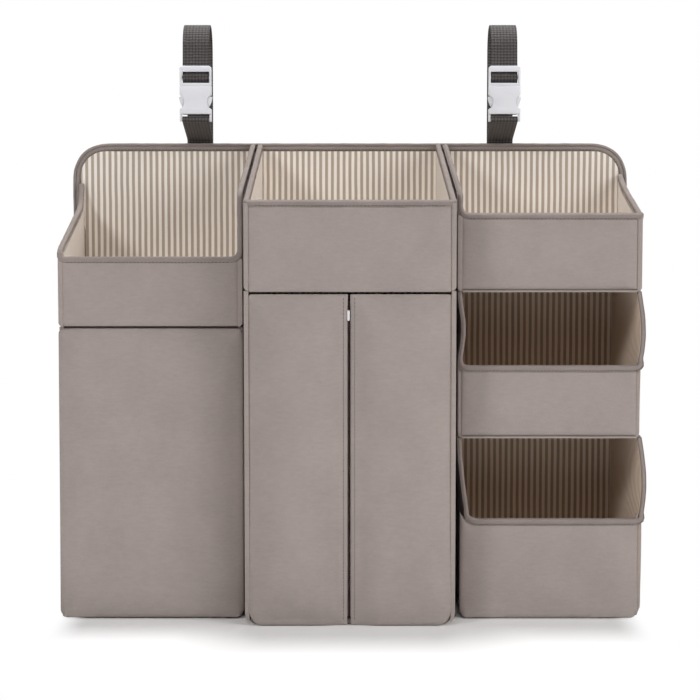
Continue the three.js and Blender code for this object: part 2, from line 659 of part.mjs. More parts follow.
// Over the crest, down the front and through the ladder: behind its head, over its bar and behind its sill
function frontRun(spliceZ) {
  const crestRadius = LOOP_DEPTH / 2;
  const crestZ = BODY_HEIGHT + LOOP_RISE - WEB_THICKNESS / 2;
  const crest = Array.from({ length: 17 }, (_, i) => {
    const angle = (i / 16) * Math.PI;
    const y = backRunY - crestRadius + crestRadius * Math.cos(angle);
    return new THREE.Vector3(0, y, crestZ - crestRadius + crestRadius * Math.sin(angle));
  });
  const barCentreZ = barZ + (LADDER_SILL + LADDER_HEAD) / 2;
  const barY = buckleY + LADDER_BAR_SET;
  const wrapY = barY - LADDER_BAR_RADIUS - SEAM - WEB_THICKNESS / 2;
  const behindY = buckleY + LADDER_THICKNESS / 2 + SEAM + WEB_THICKNESS / 2;
  const headZ = barZ + LADDER_HEAD - SEAM;
  const sillZ = barZ + LADDER_SILL + SEAM;
  const lock = roundedPath([
    [0, frontRunY, crestZ - crestRadius - SEAM],
    [0, behindY, barZ + LADDER_TOP, LADDER_THICKNESS],
    [0, behindY, headZ - SEAM, SEAM],
    [0, wrapY, barCentreZ + LADDER_BAR_RADIUS, SEAM],
    [0, wrapY, barCentreZ - LADDER_BAR_RADIUS, SEAM],
    [0, frontRunY, sillZ, SEAM],
    [0, frontRunY, sillZ - TAIL_LENGTH],
  ]);
  return [new THREE.Vector3(0, backRunY, spliceZ), ...crest, ...lock];
}

// From the sewn end up over the panel's edge, round the anchor bar and back along itself
function anchorRun() {
  const sewnY = backRunY - WEB_THICKNESS - SEAM;
  const turnZ = BODY_HEIGHT + ANCHOR_TURN;
  const wrap = BAR_RADIUS + SEAM + WEB_THICKNESS / 2;
  const toTurn = new THREE.Vector2(sewnY - buckleY, turnZ - barZ);
  const bearing = toTurn.angle();
  const spread = Math.acos(wrap / toTurn.length());
  const onBar = (angle) => [0, buckleY + wrap * Math.cos(angle), barZ + wrap * Math.sin(angle)];
  const steps = 12;
  const first = bearing - spread;
  const turn = 2 * Math.PI - 2 * spread;
  const loop = Array.from({ length: steps + 1 }, (_, i) => onBar(first - (i / steps) * turn));
  const leave = loop[steps];
  const away = first - turn - Math.PI / 2;
  const tail = [0, leave[1] + ANCHOR_TAIL * Math.cos(away), leave[2] + ANCHOR_TAIL * Math.sin(away)];
  return roundedPath([
    [0, sewnY, BODY_HEIGHT - ANCHOR_SEWN],
    [0, sewnY, turnZ, ANCHOR_TURN],
    ...loop,
    tail,
  ]);
}

function crossBar(radius, y, z, length) {
  return new THREE.CylinderGeometry(radius, radius, length, 12).rotateZ(Math.PI / 2).translate(0, y, z);
}

// Ladder lock with its middle bar, the shoulder under it and the tongue that guides it into the socket
function plugForm() {
  const half = BUCKLE_WIDTH / 2;
  const shoulder = barZ + SOCKET_MOUTH + SEAM;
  const frame = roundedRect(-half, half, shoulder, barZ + LADDER_TOP, 1, 3);
  const windowHalf = half - BUCKLE_ARM;
  frame.holes.push(roundedRect(-windowHalf, windowHalf, barZ + LADDER_SILL, barZ + LADDER_HEAD, 0.5, 0.5));
  const near = buckleY - LADDER_THICKNESS / 2;
  const ladder = frontPlate(frame, near, near + LADDER_THICKNESS, 0.6);
  const bar = crossBar(LADDER_BAR_RADIUS, buckleY + LADDER_BAR_SET,
    barZ + (LADDER_SILL + LADDER_HEAD) / 2, BUCKLE_WIDTH - BUCKLE_ARM);
  const tongueHalf = TONGUE_WIDTH / 2;
  const tongueShape = roundedRect(-tongueHalf, tongueHalf, shoulder - TONGUE_LENGTH, shoulder + 1, 1.5, 0);
  const tongue = frontPlate(tongueShape, buckleY - LATCH_THICKNESS / 2, buckleY + LATCH_THICKNESS / 2);
  return join(ladder, bar, tongue);
}

// Housing with a wide mouth, open waist windows for the latches, and the anchor bar between two arms
function socketForm() {
  const half = BUCKLE_WIDTH / 2;
  const waist = WAIST_WIDTH / 2;
  const outline = new THREE.Shape();
  const z = (height) => barZ + height;
  outline.moveTo(-half, z(SOCKET_FOOT));
  outline.lineTo(half, z(SOCKET_FOOT));
  outline.lineTo(half, z(WINDOW_FOOT - 1));
  outline.bezierCurveTo(waist, z(WINDOW_FOOT + 1), waist, z(WINDOW_TOP - 2), half - 1, z(WINDOW_TOP));
  outline.lineTo(half, z(WINDOW_TOP + 1));
  outline.lineTo(half, z(SOCKET_MOUTH));
  outline.lineTo(-half, z(SOCKET_MOUTH));
  outline.lineTo(-half, z(WINDOW_TOP + 1));
  outline.lineTo(1 - half, z(WINDOW_TOP));
  outline.bezierCurveTo(-waist, z(WINDOW_TOP - 2), -waist, z(WINDOW_FOOT + 1), -half, z(WINDOW_FOOT - 1));
  const near = buckleY - SOCKET_THICKNESS / 2;
  const body = frontPlate(outline, near, near + SOCKET_THICKNESS, 0.8);
  const armHalf = SOCKET_THICKNESS / 4;
  const arms = [-1, 1].map((way) => {
    const [x0, x1] = [way * half, way * (half - BUCKLE_ARM)].sort((a, b) => a - b);
    return box(x0, x1, buckleY - armHalf, buckleY + armHalf, barZ - BAR_RADIUS, z(SOCKET_FOOT + 1));
  });
  const bar = crossBar(BAR_RADIUS, buckleY, barZ, BUCKLE_WIDTH - BUCKLE_ARM);
  const reach = CAVITY_WIDTH / 2;
  const cavityY = [buckleY - CAVITY_THICKNESS / 2, buckleY + CAVITY_THICKNESS / 2];
  const cavity = box(-reach, reach, ...cavityY, z(WINDOW_FOOT), z(SOCKET_MOUTH + 1));
  const windows = box(-half - 1, half + 1, ...cavityY, z(WINDOW_FOOT), z(WINDOW_TOP));
  return cut(join(body, ...arms, bar), cavity, windows);
}

// Sprung arm from the plug's shoulder, ending in a finger pad that catches under the window's head
function latchForm(way) {
  const root = LATCH_ROOT;
  const shoulder = barZ + SOCKET_MOUTH;
  const catchZ = barZ + WINDOW_TOP - SEAM;
  const tipZ = barZ + LATCH_TIP;
  const padMiddle = (catchZ + tipZ) / 2;
  const outline = new THREE.Shape();
  outline.moveTo(way * root, shoulder);
  outline.lineTo(way * (root + LATCH_ARM), shoulder);
  outline.lineTo(way * (root + LATCH_ARM), catchZ);
  outline.lineTo(way * LATCH_REACH, catchZ - 0.6);
  outline.quadraticCurveTo(way * LATCH_REACH, padMiddle, way * (root + LATCH_ARM), tipZ);
  outline.lineTo(way * root, tipZ + LATCH_ARM);
  const near = buckleY - LATCH_THICKNESS / 2;
  return frontPlate(outline, near, near + LATCH_THICKNESS);
}

buildBack();
buildLeftColumn();
buildCentreColumn();
buildRightColumn();
buildStrap('left', -strapMiddle);
buildStrap('right', strapMiddle);

export default organizer;
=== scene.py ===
"""Fabric, webbing, zip and buckles of a hanging crib organizer, modelled over its measured frame."""

import functools
import json
import math

import bpy
from bpy.props import FloatProperty, FloatVectorProperty, PointerProperty
from mathutils import Matrix, Vector, noise
from mathutils.bvhtree import BVHTree

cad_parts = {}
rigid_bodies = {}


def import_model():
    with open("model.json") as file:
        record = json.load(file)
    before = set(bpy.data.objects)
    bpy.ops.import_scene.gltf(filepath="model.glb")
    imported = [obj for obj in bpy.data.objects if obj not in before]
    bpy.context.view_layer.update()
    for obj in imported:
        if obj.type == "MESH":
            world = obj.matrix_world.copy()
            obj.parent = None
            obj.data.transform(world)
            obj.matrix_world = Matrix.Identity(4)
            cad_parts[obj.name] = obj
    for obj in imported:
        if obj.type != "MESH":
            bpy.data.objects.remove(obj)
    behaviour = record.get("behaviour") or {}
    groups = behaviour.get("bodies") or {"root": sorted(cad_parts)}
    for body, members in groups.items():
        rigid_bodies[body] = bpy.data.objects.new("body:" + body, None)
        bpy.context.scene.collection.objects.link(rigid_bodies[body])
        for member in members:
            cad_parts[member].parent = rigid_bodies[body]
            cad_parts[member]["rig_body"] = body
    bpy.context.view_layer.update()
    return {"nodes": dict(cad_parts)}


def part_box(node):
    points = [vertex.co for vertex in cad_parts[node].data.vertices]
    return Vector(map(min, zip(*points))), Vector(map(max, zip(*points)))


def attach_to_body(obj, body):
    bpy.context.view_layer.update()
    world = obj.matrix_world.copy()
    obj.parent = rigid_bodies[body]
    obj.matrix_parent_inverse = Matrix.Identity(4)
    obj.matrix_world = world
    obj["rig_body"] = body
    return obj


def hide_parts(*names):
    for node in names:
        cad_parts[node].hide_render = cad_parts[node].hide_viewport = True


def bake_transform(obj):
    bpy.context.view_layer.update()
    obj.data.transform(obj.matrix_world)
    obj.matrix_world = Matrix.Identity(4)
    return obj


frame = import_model()

bl_info = {
    "name": "Hanging crib organizer",
    "version": (1, 0, 0),
    "blender": (4, 5, 0),
    "location": "3D View > Sidebar > Organizer",
    "description": "Models the organizer's covers, linings, tapes, straps, zip and buckles",
    "category": "Object",
}


def linear(red, green, blue):
    """Scene-linear colour of an 8-bit display colour."""
    parts = [value / 255 for value in (red, green, blue)]
    return tuple(p / 12.92 if p <= 0.04045 else ((p + 0.055) / 1.055) ** 2.4 for p in parts)


def length(label, text, default):
    return FloatProperty(name=label, description=text, default=default, min=0.0, unit="LENGTH", precision=5)


def fraction(label, text, default, least, most=1.0):
    return FloatProperty(name=label, description=text, default=default, min=least, max=most, subtype="FACTOR")


def power(label, text, default):
    return FloatProperty(name=label, description=text, default=default, min=0.0, unit="POWER")


def colour(label, text, default):
    return FloatVectorProperty(name=label, description=text, default=default, size=3, min=0.0, max=1.0,
                               subtype="COLOR")


class OrganizerSizes(bpy.types.PropertyGroup):
    """Sizes of the sewn and moulded details"""
    rim_half: length("Rim tape", "Half the height of the folded tape on the rims", 0.0030)
    rim_seam: fraction("Rim seam", "How far down that half its seam lies", 0.66, 0.3, 0.68)
    rim_slim: fraction("Slim rim", "Part of that height where the tape runs along a wall", 0.78, 0.3)
    leg_slim: fraction("Slim leg", "Part of that height where the tape runs up an open tier", 0.62, 0.3)
    rim_corner: length("Rim corner", "Radius of the rim tape where it turns up a wall", 0.009)
    fold_corner: length("Fold corner", "Radius of the lowest tier's inner corner", 0.014)
    wall: length("Wall", "Thickness of a covered wall board", 0.004)
    soft_wall: length("Soft wall", "Thickness of the open tiers' softer walls", 0.0032)
    wall_edge: length("Wall edge", "Rounding of the covered boards' edges", 0.0009)
    welt: length("Welt", "Half the height of the welts under the upper tiers' fronts", 0.0009)
    tier_bulge: length("Tier bulge", "How far the open tiers' outer walls bow outwards", 0.0042)
    tier_step: length("Tier step", "How far the lowest tier's outer wall stands out at its front", 0.0026)
    tier_lean: length("Tier lean", "How far the lowest tier's inner wall leans in at its front", 0.0085)
    tier_wave: length("Tier wave", "How far the middle tier's inner wall bows in at its front", 0.0035)
    padding: length("Padding", "How far the padding lifts the fronts from their boards", 0.0016)
    door_padding: length("Door padding", "How far the padding lifts the doors and the flap", 0.0026)
    door_bulge: length("Door bulge", "How far the doors stand out in a round over their padding", 0.0065)
    foot_fold: length("Foot fold", "Radius of the fold at the foot of doors, flap and lowest front", 0.0012)
    padding_mesh: length("Padding mesh", "Mesh size of the padded covers", 0.0027)
    stripe_pitch: length("Stripe pitch", "Width of one light and one dark stripe", 0.0057)
    stitch_length: length("Stitch length", "Length of one visible stitch", 0.0023)
    stitch_pitch: length("Stitch pitch", "Distance from stitch to stitch", 0.0033)
    stitch_radius: length("Stitch radius", "Half the thickness of the sewing thread", 0.00034)
    web_width: length("Webbing width", "Width of the strap webbing", 0.025)
    web_thickness: length("Webbing thickness", "Thickness of the strap webbing", 0.0014)
    plastic_edge: length("Plastic edge", "Rounding of the buckles' edges", 0.0005)
    tooth_pitch: length("Tooth pitch", "Distance from tooth to tooth along the zip", 0.0016)


class OrganizerColours(bpy.types.PropertyGroup):
    """Colours of the materials"""
    cover: colour("Cover", "Brushed grey cover fabric", linear(159, 148, 143))
    tape: colour("Tape", "Folded edge tape", linear(144, 133, 128))
    thread: colour("Thread", "Sewing thread", linear(104, 95, 91))
    light_stripe: colour("Light stripe", "Light stripe of the lining", linear(246, 239, 231))
    dark_stripe: colour("Dark stripe", "Dark stripe of the lining", linear(181, 167, 153))
    web: colour("Webbing", "Strap webbing", linear(68, 64, 63))
    # Painted warm shade: the lining in the open tiers is multiplied by this tint, standing in for the warm light
    # bounced from its beige sides in their shade
    tier_painted_shade_tint: colour("Tier tint", "Tint of the lining in the open tiers, by light from its own beige sides",
                      (1.0, 0.90, 0.81))
    zip: colour("Zip tape", "Zip tape", linear(34, 31, 30))
    coil: colour("Zip coil", "Teeth of the zip", linear(190, 168, 160))
    grip: colour("Grip tape", "Hook and loop tape", linear(92, 86, 83))
    plastic: colour("Plastic", "White buckle plastic", linear(226, 226, 231))


class OrganizerStage(bpy.types.PropertyGroup):
    """Camera and light"""
    lens: FloatProperty(name="Lens", description="Focal length on a 36 mm sensor", default=92.47, min=10.0,
                        unit="CAMERA")
    distance: length("Camera distance", "Distance from the lining to the camera", 1.76)
    height: length("Camera height", "Height of the camera above the floor", 0.3687)
    tilt: FloatProperty(name="Camera tilt", description="Angle of the camera from straight down",
                        default=math.radians(85.5), subtype="ANGLE")
    daylight: FloatProperty(name="Daylight", description="Strength of the even light all round", default=0.185, min=0.0)
    front: power("Front light", "Power of the lamp in front", 9.0)
    left: power("Left light", "Power of the lamp at the left", 16.5)
    right: power("Right light", "Power of the lamp at the right", 28.5)
    top: power("Top light", "Power of the lamp overhead", 28.0)
    lit_floor: length("Lit floor", "Distance from the middle up to which the floor shows light and shadow", 0.30)
    white_floor: length("White floor", "Distance from the middle beyond which the floor is plain white", 0.62)


def sizes():
    return bpy.context.scene.organizer_sizes


def colours():
    return bpy.context.scene.organizer_colours


FORWARDS, UPWARDS = Vector((0, -1, 0)), Vector((0, 0, 1))


# Handling of pieces

def part_of(value, whole=1.0):
    """How much of a whole a value is, kept between 0 and 1."""
    return min(max(value / whole, 0.0), 1.0)


def eased(part):
    """A part from 0 to 1 that starts and ends softly."""
    return part * part * (3 - 2 * part)


def select_only(piece):
    bpy.ops.object.select_all(action="DESELECT")
    piece.select_set(True)
    bpy.context.view_layer.objects.active = piece


def apply(piece, kind, **settings):
    """Adds a modifier to a piece and applies it."""
    modifier = piece.modifiers.new(kind.title(), kind)
    for name, value in settings.items():
        setattr(modifier, name, value)
    select_only(piece)
    bpy.ops.object.modifier_apply(modifier=modifier.name)


def smooth(piece, degrees=40):
    select_only(piece)
    bpy.ops.object.shade_smooth_by_angle(angle=math.radians(degrees))


def clean(piece, weld=False, join=False, close=False):
    """Turns a mesh's faces outwards, after welding its corners, joining its flat faces or closing its holes."""
    select_only(piece)
    bpy.ops.object.mode_set(mode="EDIT")
    bpy.ops.mesh.select_all(action="SELECT")
    if weld:
        bpy.ops.mesh.remove_doubles(threshold=1e-6)
    if join:
        bpy.ops.mesh.dissolve_limited(angle_limit=math.radians(0.5))
    if close:
        bpy.ops.mesh.fill_holes(sides=0)
    bpy.ops.mesh.normals_make_consistent(inside=False)
    bpy.ops.object.mode_set(mode="OBJECT")


def merged_copy(node, name):
    """A copy of a frame node's mesh with its corners welded and its flat faces joined."""
    piece = bpy.data.objects.new(name, frame["nodes"][node].data.copy())
    bpy.context.scene.collection.objects.link(piece)
    piece.data.materials.clear()
    select_only(piece)
    bpy.ops.mesh.customdata_custom_splitnormals_clear()
    clean(piece, weld=True, join=True)
    return piece


def rounded_copy(node, name, edge, segments=3, least=50):
    """A merged copy of a frame node with its edges rounded where they turn by more than some degrees."""
    piece = merged_copy(node, name)
    apply(piece, "BEVEL", width=edge, segments=segments, angle_limit=math.radians(least))
    smooth(piece)
    return piece


def thicken(piece, thickness, edge, segments, degrees=40):
    """Gives a flat piece its thickness to both sides and rounds its edges."""
    apply(piece, "SOLIDIFY", thickness=thickness, offset=0.0)
    apply(piece, "BEVEL", width=edge, segments=segments, angle_limit=math.radians(60))
    clean(piece)
    smooth(piece, degrees)


def ruffle(piece, amount, scale):
    """Makes a sewn piece a little uneven."""
    for vertex in piece.data.vertices:
        vertex.co += amount * noise.noise_vector(vertex.co * scale)


def added(add, name, **settings):
    """A new piece from one of Blender's basic shapes."""
    bpy.ops.object.select_all(action="DESELECT")
    add(**settings)
    piece = bpy.context.active_object
    piece.name = name
    return piece


def grid(name, columns, rows):
    """A flat grid with a map, and for each vertex its place across and along from 0 to 1."""
    piece = added(bpy.ops.mesh.primitive_grid_add, name, x_subdivisions=columns, y_subdivisions=rows, size=2.0,
                  calc_uvs=True)
    places = [((v.co.x + 1) / 2, (v.co.y + 1) / 2) for v in piece.data.vertices]
    return piece, places


def laid_tape(name, route, up, outline, scale=None, closed=False):
    """A tape of a given outline, as pairs across and up, laid along a route without twisting."""
    frames, before = [], None
    for i, place in enumerate(route):
        a, b = route[max(i - 1, 0)], route[min(i + 1, len(route) - 1)]
        if closed and i in (0, len(route) - 1):
            a, b = route[-2], route[1]
        along = (b - a).normalized()
        if before is not None:
            up = before.rotation_difference(along) @ up
        up = (up - along * up.dot(along)).normalized()
        frames.append((place, along.cross(up), up, scale(place) if scale else 1.0))
        before = along
    rows = len(route) - 1
    piece, places = grid(name, len(outline), rows)
    for vertex, (across, along) in zip(piece.data.vertices, places):
        place, side, top, size = frames[round(along * rows)]
        u, v = outline[round(across * len(outline)) % len(outline)]
        vertex.co = place + side * (u * size) + top * (v * size)
    clean(piece, weld=True, close=True)
    return piece


def rounded_outline(half_width, half_height, radius, steps=4):
    """Outline of a rounded rectangle, as pairs across and up."""
    outline = []
    for quarter, (sx, sy) in enumerate(((1, 1), (-1, 1), (-1, -1), (1, -1))):
        for k in range(steps + 1):
            angle = math.pi / 2 * (quarter + k / steps)
            outline.append((sx * (half_width - radius) + radius * math.cos(angle),
                            sy * (half_height - radius) + radius * math.sin(angle)))
    return outline


def tape_outline(half_width, half_height, fold, foot, seam, flat=False):
    """Outline of a folded tape, by the radii of its fold and its foot, with a sewn-in groove on either side."""
    over, under = (rounded_outline(half_width, half_height, radius) for radius in (fold, foot))
    groove = [(half_width - deep, (seam + part) * half_height) for part, deep in
              ((-0.18, 0.0), (0.0, 0.0010), (0.16, 0.0))]
    outline = over[:10] + [(-u, v) for u, v in reversed(groove)] + under[10:] + groove
    return [(-v, u) for u, v in outline] if flat else outline


def attach(piece, slot, node, *finishes):
    """Gives a finished piece its materials and the body of a frame node; its slot is not used."""
    for name in finishes:
        piece.data.materials.append(finish(name))
    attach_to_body(piece, frame["nodes"][node]["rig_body"])


def fit(piece, slot, node, *finishes):
    """Attaches a finished piece that stands for a frame node."""
    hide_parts(node)
    attach(piece, slot, node, *finishes)


def paint_facing(piece, way, index, least=0.75):
    """Gives the faces that look one way another of the piece's materials."""
    for face in piece.data.polygons:
        if face.normal.dot(way) > least:
            face.material_index = index


@functools.cache
def box_of(node):
    """Lowest and highest corner of a frame node."""
    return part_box(node)


def middle(node):
    low, high = box_of(node)
    return (low + high) / 2


def rounded(corners, steps=8):
    """Places along a line through corners given as x, y, z and, where it turns, a radius."""
    points = [(Vector(c[:3]), c[3] if len(c) > 3 else 0.0) for c in corners]
    route = []
    for i, (place, radius) in enumerate(points):
        if radius == 0.0 or i in (0, len(points) - 1):
            route.append(place)
            continue
        back, ahead = points[i - 1][0] - place, points[i + 1][0] - place
        first = place + back.normalized() * min(radius, back.length * 0.49)
        last = place + ahead.normalized() * min(radius, ahead.length * 0.49)
        for k in range(steps + 1):
            t = k / steps
            route.append(first * (1 - t) ** 2 + place * (2 * t * (1 - t)) + last * t ** 2)
    return route


def even(route, step):
    """The same route with places at an even distance."""
    lengths = [0.0]
    for a, b in zip(route, route[1:]):
        lengths.append(lengths[-1] + (b - a).length)
    count = max(2, round(lengths[-1] / step))
    result, k = [], 0
    for i in range(count + 1):
        goal = lengths[-1] * i / count
        while k < len(lengths) - 2 and lengths[k + 1] < goal:
            k += 1
        part = (goal - lengths[k]) / max(lengths[k + 1] - lengths[k], 1e-9)
        result.append(route[k].lerp(route[k + 1], min(part, 1.0)))
    return result


# Materials

def find_or_make(name, make):
    material = bpy.data.materials.get(name)
    if material is None:
        material = bpy.data.materials.new(name)
        material.use_nodes = True
        make(material.node_tree, material.node_tree.nodes["Principled BSDF"])
    return material


def feed(tree, node, inputs):
    """Links sockets into a shader node's inputs, or sets the inputs to values."""
    for name, source in inputs.items():
        if isinstance(source, bpy.types.NodeSocket):
            tree.links.new(source, node.inputs[name])
        else:
            node.inputs[name].default_value = source


def add_node(tree, kind, inputs=None, **options):
    """Adds a shader node, sets its options and feeds its inputs."""
    node = tree.nodes.new(kind)
    for name, value in options.items():
        setattr(node, name, value)
    feed(tree, node, inputs or {})
    return node


def place_in(tree, kind="Object"):
    return add_node(tree, "ShaderNodeTexCoord").outputs[kind]


def math_node(tree, operation, first, second=0.0, third=0.0):
    return add_node(tree, "ShaderNodeMath", {0: first, 1: second, 2: third}, operation=operation).outputs[0]


def weighted(tree, *parts):
    """Sum of some values, each one times its weight."""
    total = 0.0
    for value, weight in parts:
        total = math_node(tree, "MULTIPLY_ADD", value, weight, total)
    return total


def ramp(tree, value, first, last, kind="SMOOTHSTEP"):
    """Rises from 0 to 1 while a value goes from the first to the last."""
    return add_node(tree, "ShaderNodeMapRange", {"Value": value, "From Min": first, "From Max": last},
                    interpolation_type=kind).outputs[0]


def noise_at(tree, place, scale, detail=2.0, roughness=0.5):
    return add_node(tree, "ShaderNodeTexNoise", {"Vector": place, "Scale": scale, "Detail": detail,
                                                 "Roughness": roughness}).outputs["Fac"]


def mixed(tree, factor, first, second, way="MIX"):
    """Colour between two colours, or the first one tinted with the second."""
    return add_node(tree, "ShaderNodeMix", {0: factor, 6: first, 7: second}, data_type="RGBA",
                    blend_type=way).outputs[2]


def shade(base, amount=1.0):
    """A darker or lighter colour, with its alpha."""
    return (*(min(value * amount, 1.0) for value in base), 1.0)


def relief(tree, height, strength, distance):
    return add_node(tree, "ShaderNodeBump", {"Height": height, "Strength": strength,
                                             "Distance": distance}).outputs[0]


def cloth_finish(base, spread, nap, depth, sheen):
    """Brushed cloth: clouded and streaked in tone, with a fine nap and a soft sheen."""
    def make(tree, shader):
        place = place_in(tree)
        drawn = add_node(tree, "ShaderNodeMapping", {"Vector": place, "Scale": (1.0, 1.0, 3.2)}).outputs[0]
        clouds = noise_at(tree, place, 26.0, 5.0, 0.62)
        streaks = noise_at(tree, drawn, 130.0, 4.0, 0.7)
        fibres = noise_at(tree, place, nap, 3.0, 0.65)
        tone = ramp(tree, weighted(tree, (clouds, 0.38), (streaks, 0.37), (fibres, 0.25)), 0.3, 0.7, "LINEAR")
        feed(tree, shader, {"Base Color": mixed(tree, tone, shade(base, 1 - spread), shade(base, 1 + spread)),
                            "Roughness": 0.88, "Specular IOR Level": 0.18, "Sheen Weight": sheen,
                            "Sheen Roughness": 0.45, "Normal": relief(tree, fibres, 0.5, depth)})
    return make


def stripe_finish(axis):
    """Striped cotton: sharp light and dark stripes along one axis, a little wavy, over a plain weave, with painted warm
    shade where it lies in the open tiers.
    """
    def make(tree, shader):
        c = colours()
        place = place_in(tree)
        split = add_node(tree, "ShaderNodeSeparateXYZ", {0: place}).outputs
        sway = math_node(tree, "MULTIPLY_ADD", noise_at(tree, place, 30.0, 1.0), 0.0007, -0.00035)
        along = math_node(tree, "ADD", split[axis], sway)
        swing = math_node(tree, "PINGPONG", math_node(tree, "MULTIPLY", along, 1 / sizes().stripe_pitch), 0.5)
        edge = ramp(tree, swing, 0.205, 0.295)
        fibres = noise_at(tree, place, 900.0, 3.0, 0.6)
        soft = math_node(tree, "ADD", edge, math_node(tree, "MULTIPLY_ADD", fibres, 0.3, -0.15))
        plain = mixed(tree, soft, shade(c.dark_stripe), shade(c.light_stripe))
        # Painted warm shade: where the lining lies inside the open tiers its colour is multiplied by the tier tint
        right = math_node(tree, "GREATER_THAN", split["X"], middle("right_lower_inner_wall").x - 0.003)
        low = math_node(tree, "LESS_THAN", split["Z"], middle("right_upper_floor").z)
        painted_shade_area = math_node(tree, "MULTIPLY", right, low)
        feed(tree, shader, {"Base Color": mixed(tree, painted_shade_area, plain, shade(c.tier_painted_shade_tint), "MULTIPLY"),
                            "Roughness": 0.9, "Specular IOR Level": 0.15,
                            "Normal": relief(tree, weighted(tree, (fibres, 1.0), (edge, 0.5)), 0.4, 0.0003)})
    return make


METRE_WAVE = 0.314  # scale of a wave texture whose bands lie one metre apart


def web_finish(tree, shader):
    """Woven webbing: ribs across and cords along, mapped over its length in metres, with painted shade between the ribs
    and painted highlight on them.
    """
    place = place_in(tree, "UV")
    parts = []
    for way, pitch, wobble, weight in (("Y", 0.0028, 0.5, 0.6), ("X", 0.0030, 0.4, 0.4)):
        wave = add_node(tree, "ShaderNodeTexWave", {"Vector": place, "Scale": METRE_WAVE / pitch, "Detail": 1.0,
                                                    "Distortion": wobble, "Detail Scale": 2.0}, bands_direction=way)
        parts.append((ramp(tree, wave.outputs["Fac"], 0.0, 0.55), weight))
    weave = weighted(tree, *parts)
    # The weave's rib pattern is real, but its tone, from far darker to far lighter than the webbing's colour, is
    # painted shade between the ribs and painted highlight on their crests, over the weave's real bump
    tone = weighted(tree, (weave, 0.8), (noise_at(tree, place, 1500.0), 0.2))
    base = colours().web
    feed(tree, shader, {"Base Color": mixed(tree, tone, shade(base, 0.05), shade(base, 1.75)), "Roughness": 0.7,
                        "Specular IOR Level": 0.3, "Sheen Weight": 0.1, "Normal": relief(tree, weave, 0.9, 0.0007)})


def plastic_finish(tree, shader):
    """Moulded white plastic with a faint grain."""
    place = place_in(tree)
    base = colours().plastic
    feed(tree, shader, {"Base Color": mixed(tree, noise_at(tree, place, 60.0), shade(base, 0.97), shade(base, 1.03)),
                        "Roughness": 0.36, "Subsurface Weight": 0.08, "Subsurface Radius": (0.002, 0.002, 0.002),
                        "Normal": relief(tree, noise_at(tree, place, 1800.0, 1.0), 0.12, 0.0001)})


def finish(name):
    """One of the organizer's materials."""
    c = colours()
    cloths = {  # colour, spread of its tone, scale and depth of the nap, sheen
        "cover_fabric": (c.cover, 0.13, 1100.0, 0.00035, 0.06),
        "edge_tape": (c.tape, 0.16, 1300.0, 0.0003, 0.05),
        "thread": (c.thread, 0.08, 2200.0, 0.0001, 0.05),
        "zip_tape": (c.zip, 0.2, 1500.0, 0.0002, 0.02),
        "zip_coil": (c.coil, 0.1, 1500.0, 0.0001, 0.02),
        "grip_tape": (c.grip, 0.35, 700.0, 0.0006, 0.05),
    }
    others = {"stripe_across": stripe_finish("X"), "stripe_along": stripe_finish("Y"), "webbing": web_finish,
              "white_plastic": plastic_finish}
    return find_or_make(f"organizer_{name}", cloth_finish(*cloths[name]) if name in cloths else others[name])


# Stitching

def laid_on(cover, route, way):
    """A route moved onto a finished cover, seen against the way that the cover faces."""
    mesh = bpy.data.objects[cover].data
    surface = BVHTree.FromPolygons([v.co for v in mesh.vertices], [tuple(f.vertices) for f in mesh.polygons])
    laid = []
    for place in route:
        hit = surface.ray_cast(place + way * 0.01, -way)[0]
        laid.append(place if hit is None else hit)
    return laid


def stitches(name, rows, node, slot):
    """Rows of stitches on a frame node's piece, each row given as its route and the way that its cloth faces."""
    s = sizes()
    grain = added(bpy.ops.mesh.primitive_uv_sphere_add, "stitch", segments=6, ring_count=5, radius=1.0)
    bpy.ops.object.mode_set(mode="EDIT")
    bpy.ops.mesh.select_all(action="SELECT")
    bpy.ops.transform.resize(value=(s.stitch_radius, s.stitch_radius * 0.8, s.stitch_length / 2))
    bpy.ops.object.mode_set(mode="OBJECT")
    shape = [v.co.copy() for v in grain.data.vertices]
    sides = [tuple(face.vertices) for face in grain.data.polygons]
    bpy.data.objects.remove(grain)
    points, faces = [], []
    for route, up in rows:
        places = even(route, s.stitch_pitch)
        for a, b in zip(places, places[1:]):
            along = (b - a).normalized()
            across = along.cross(up).normalized()
            turn = Matrix((across, across.cross(along) * -1, along)).transposed()
            first = len(points)
            here = (a + b) / 2 + Vector(up).normalized() * s.stitch_radius * 0.25
            points.extend(turn @ p + here for p in shape)
            faces.extend(tuple(first + i for i in side) for side in sides)
    mesh = bpy.data.meshes.new(name)
    mesh.from_pydata(points, [], faces)
    piece = bpy.data.objects.new(name, mesh)
    bpy.context.scene.collection.objects.link(piece)
    smooth(piece, 80)
    attach(piece, slot, node, "thread")


# Routes of the rims, from the frame's boxes and the tape's radius

def lining_front():
    return box_of("back_lining")[0].y


# Height of the upper edge of each pocket's front
RIMS = {"left_pocket": 0.326, "centre_pocket": 0.376, "right_upper": 0.3645, "right_middle": 0.229,
        "right_lower": 0.0905}
TIERS = ("right_middle", "right_lower")
# How far the middle of a rim's tape lies in from the edge that it covers
RIM_INSET = 0.003


def rim_height(pocket):
    return RIMS[pocket] - RIM_INSET


def rim_front(pocket):
    return box_of(f"{pocket}_front")[0].y + RIM_INSET


def head_height():
    return box_of("back_edge_tape")[1].z - RIM_INSET


def slope_height(y):
    """Height of the sloping walls' edge at a distance in front of the lining."""
    part = (lining_front() - y) / (lining_front() - rim_front("centre_pocket"))
    return head_height() + (rim_height("centre_pocket") - head_height()) * part


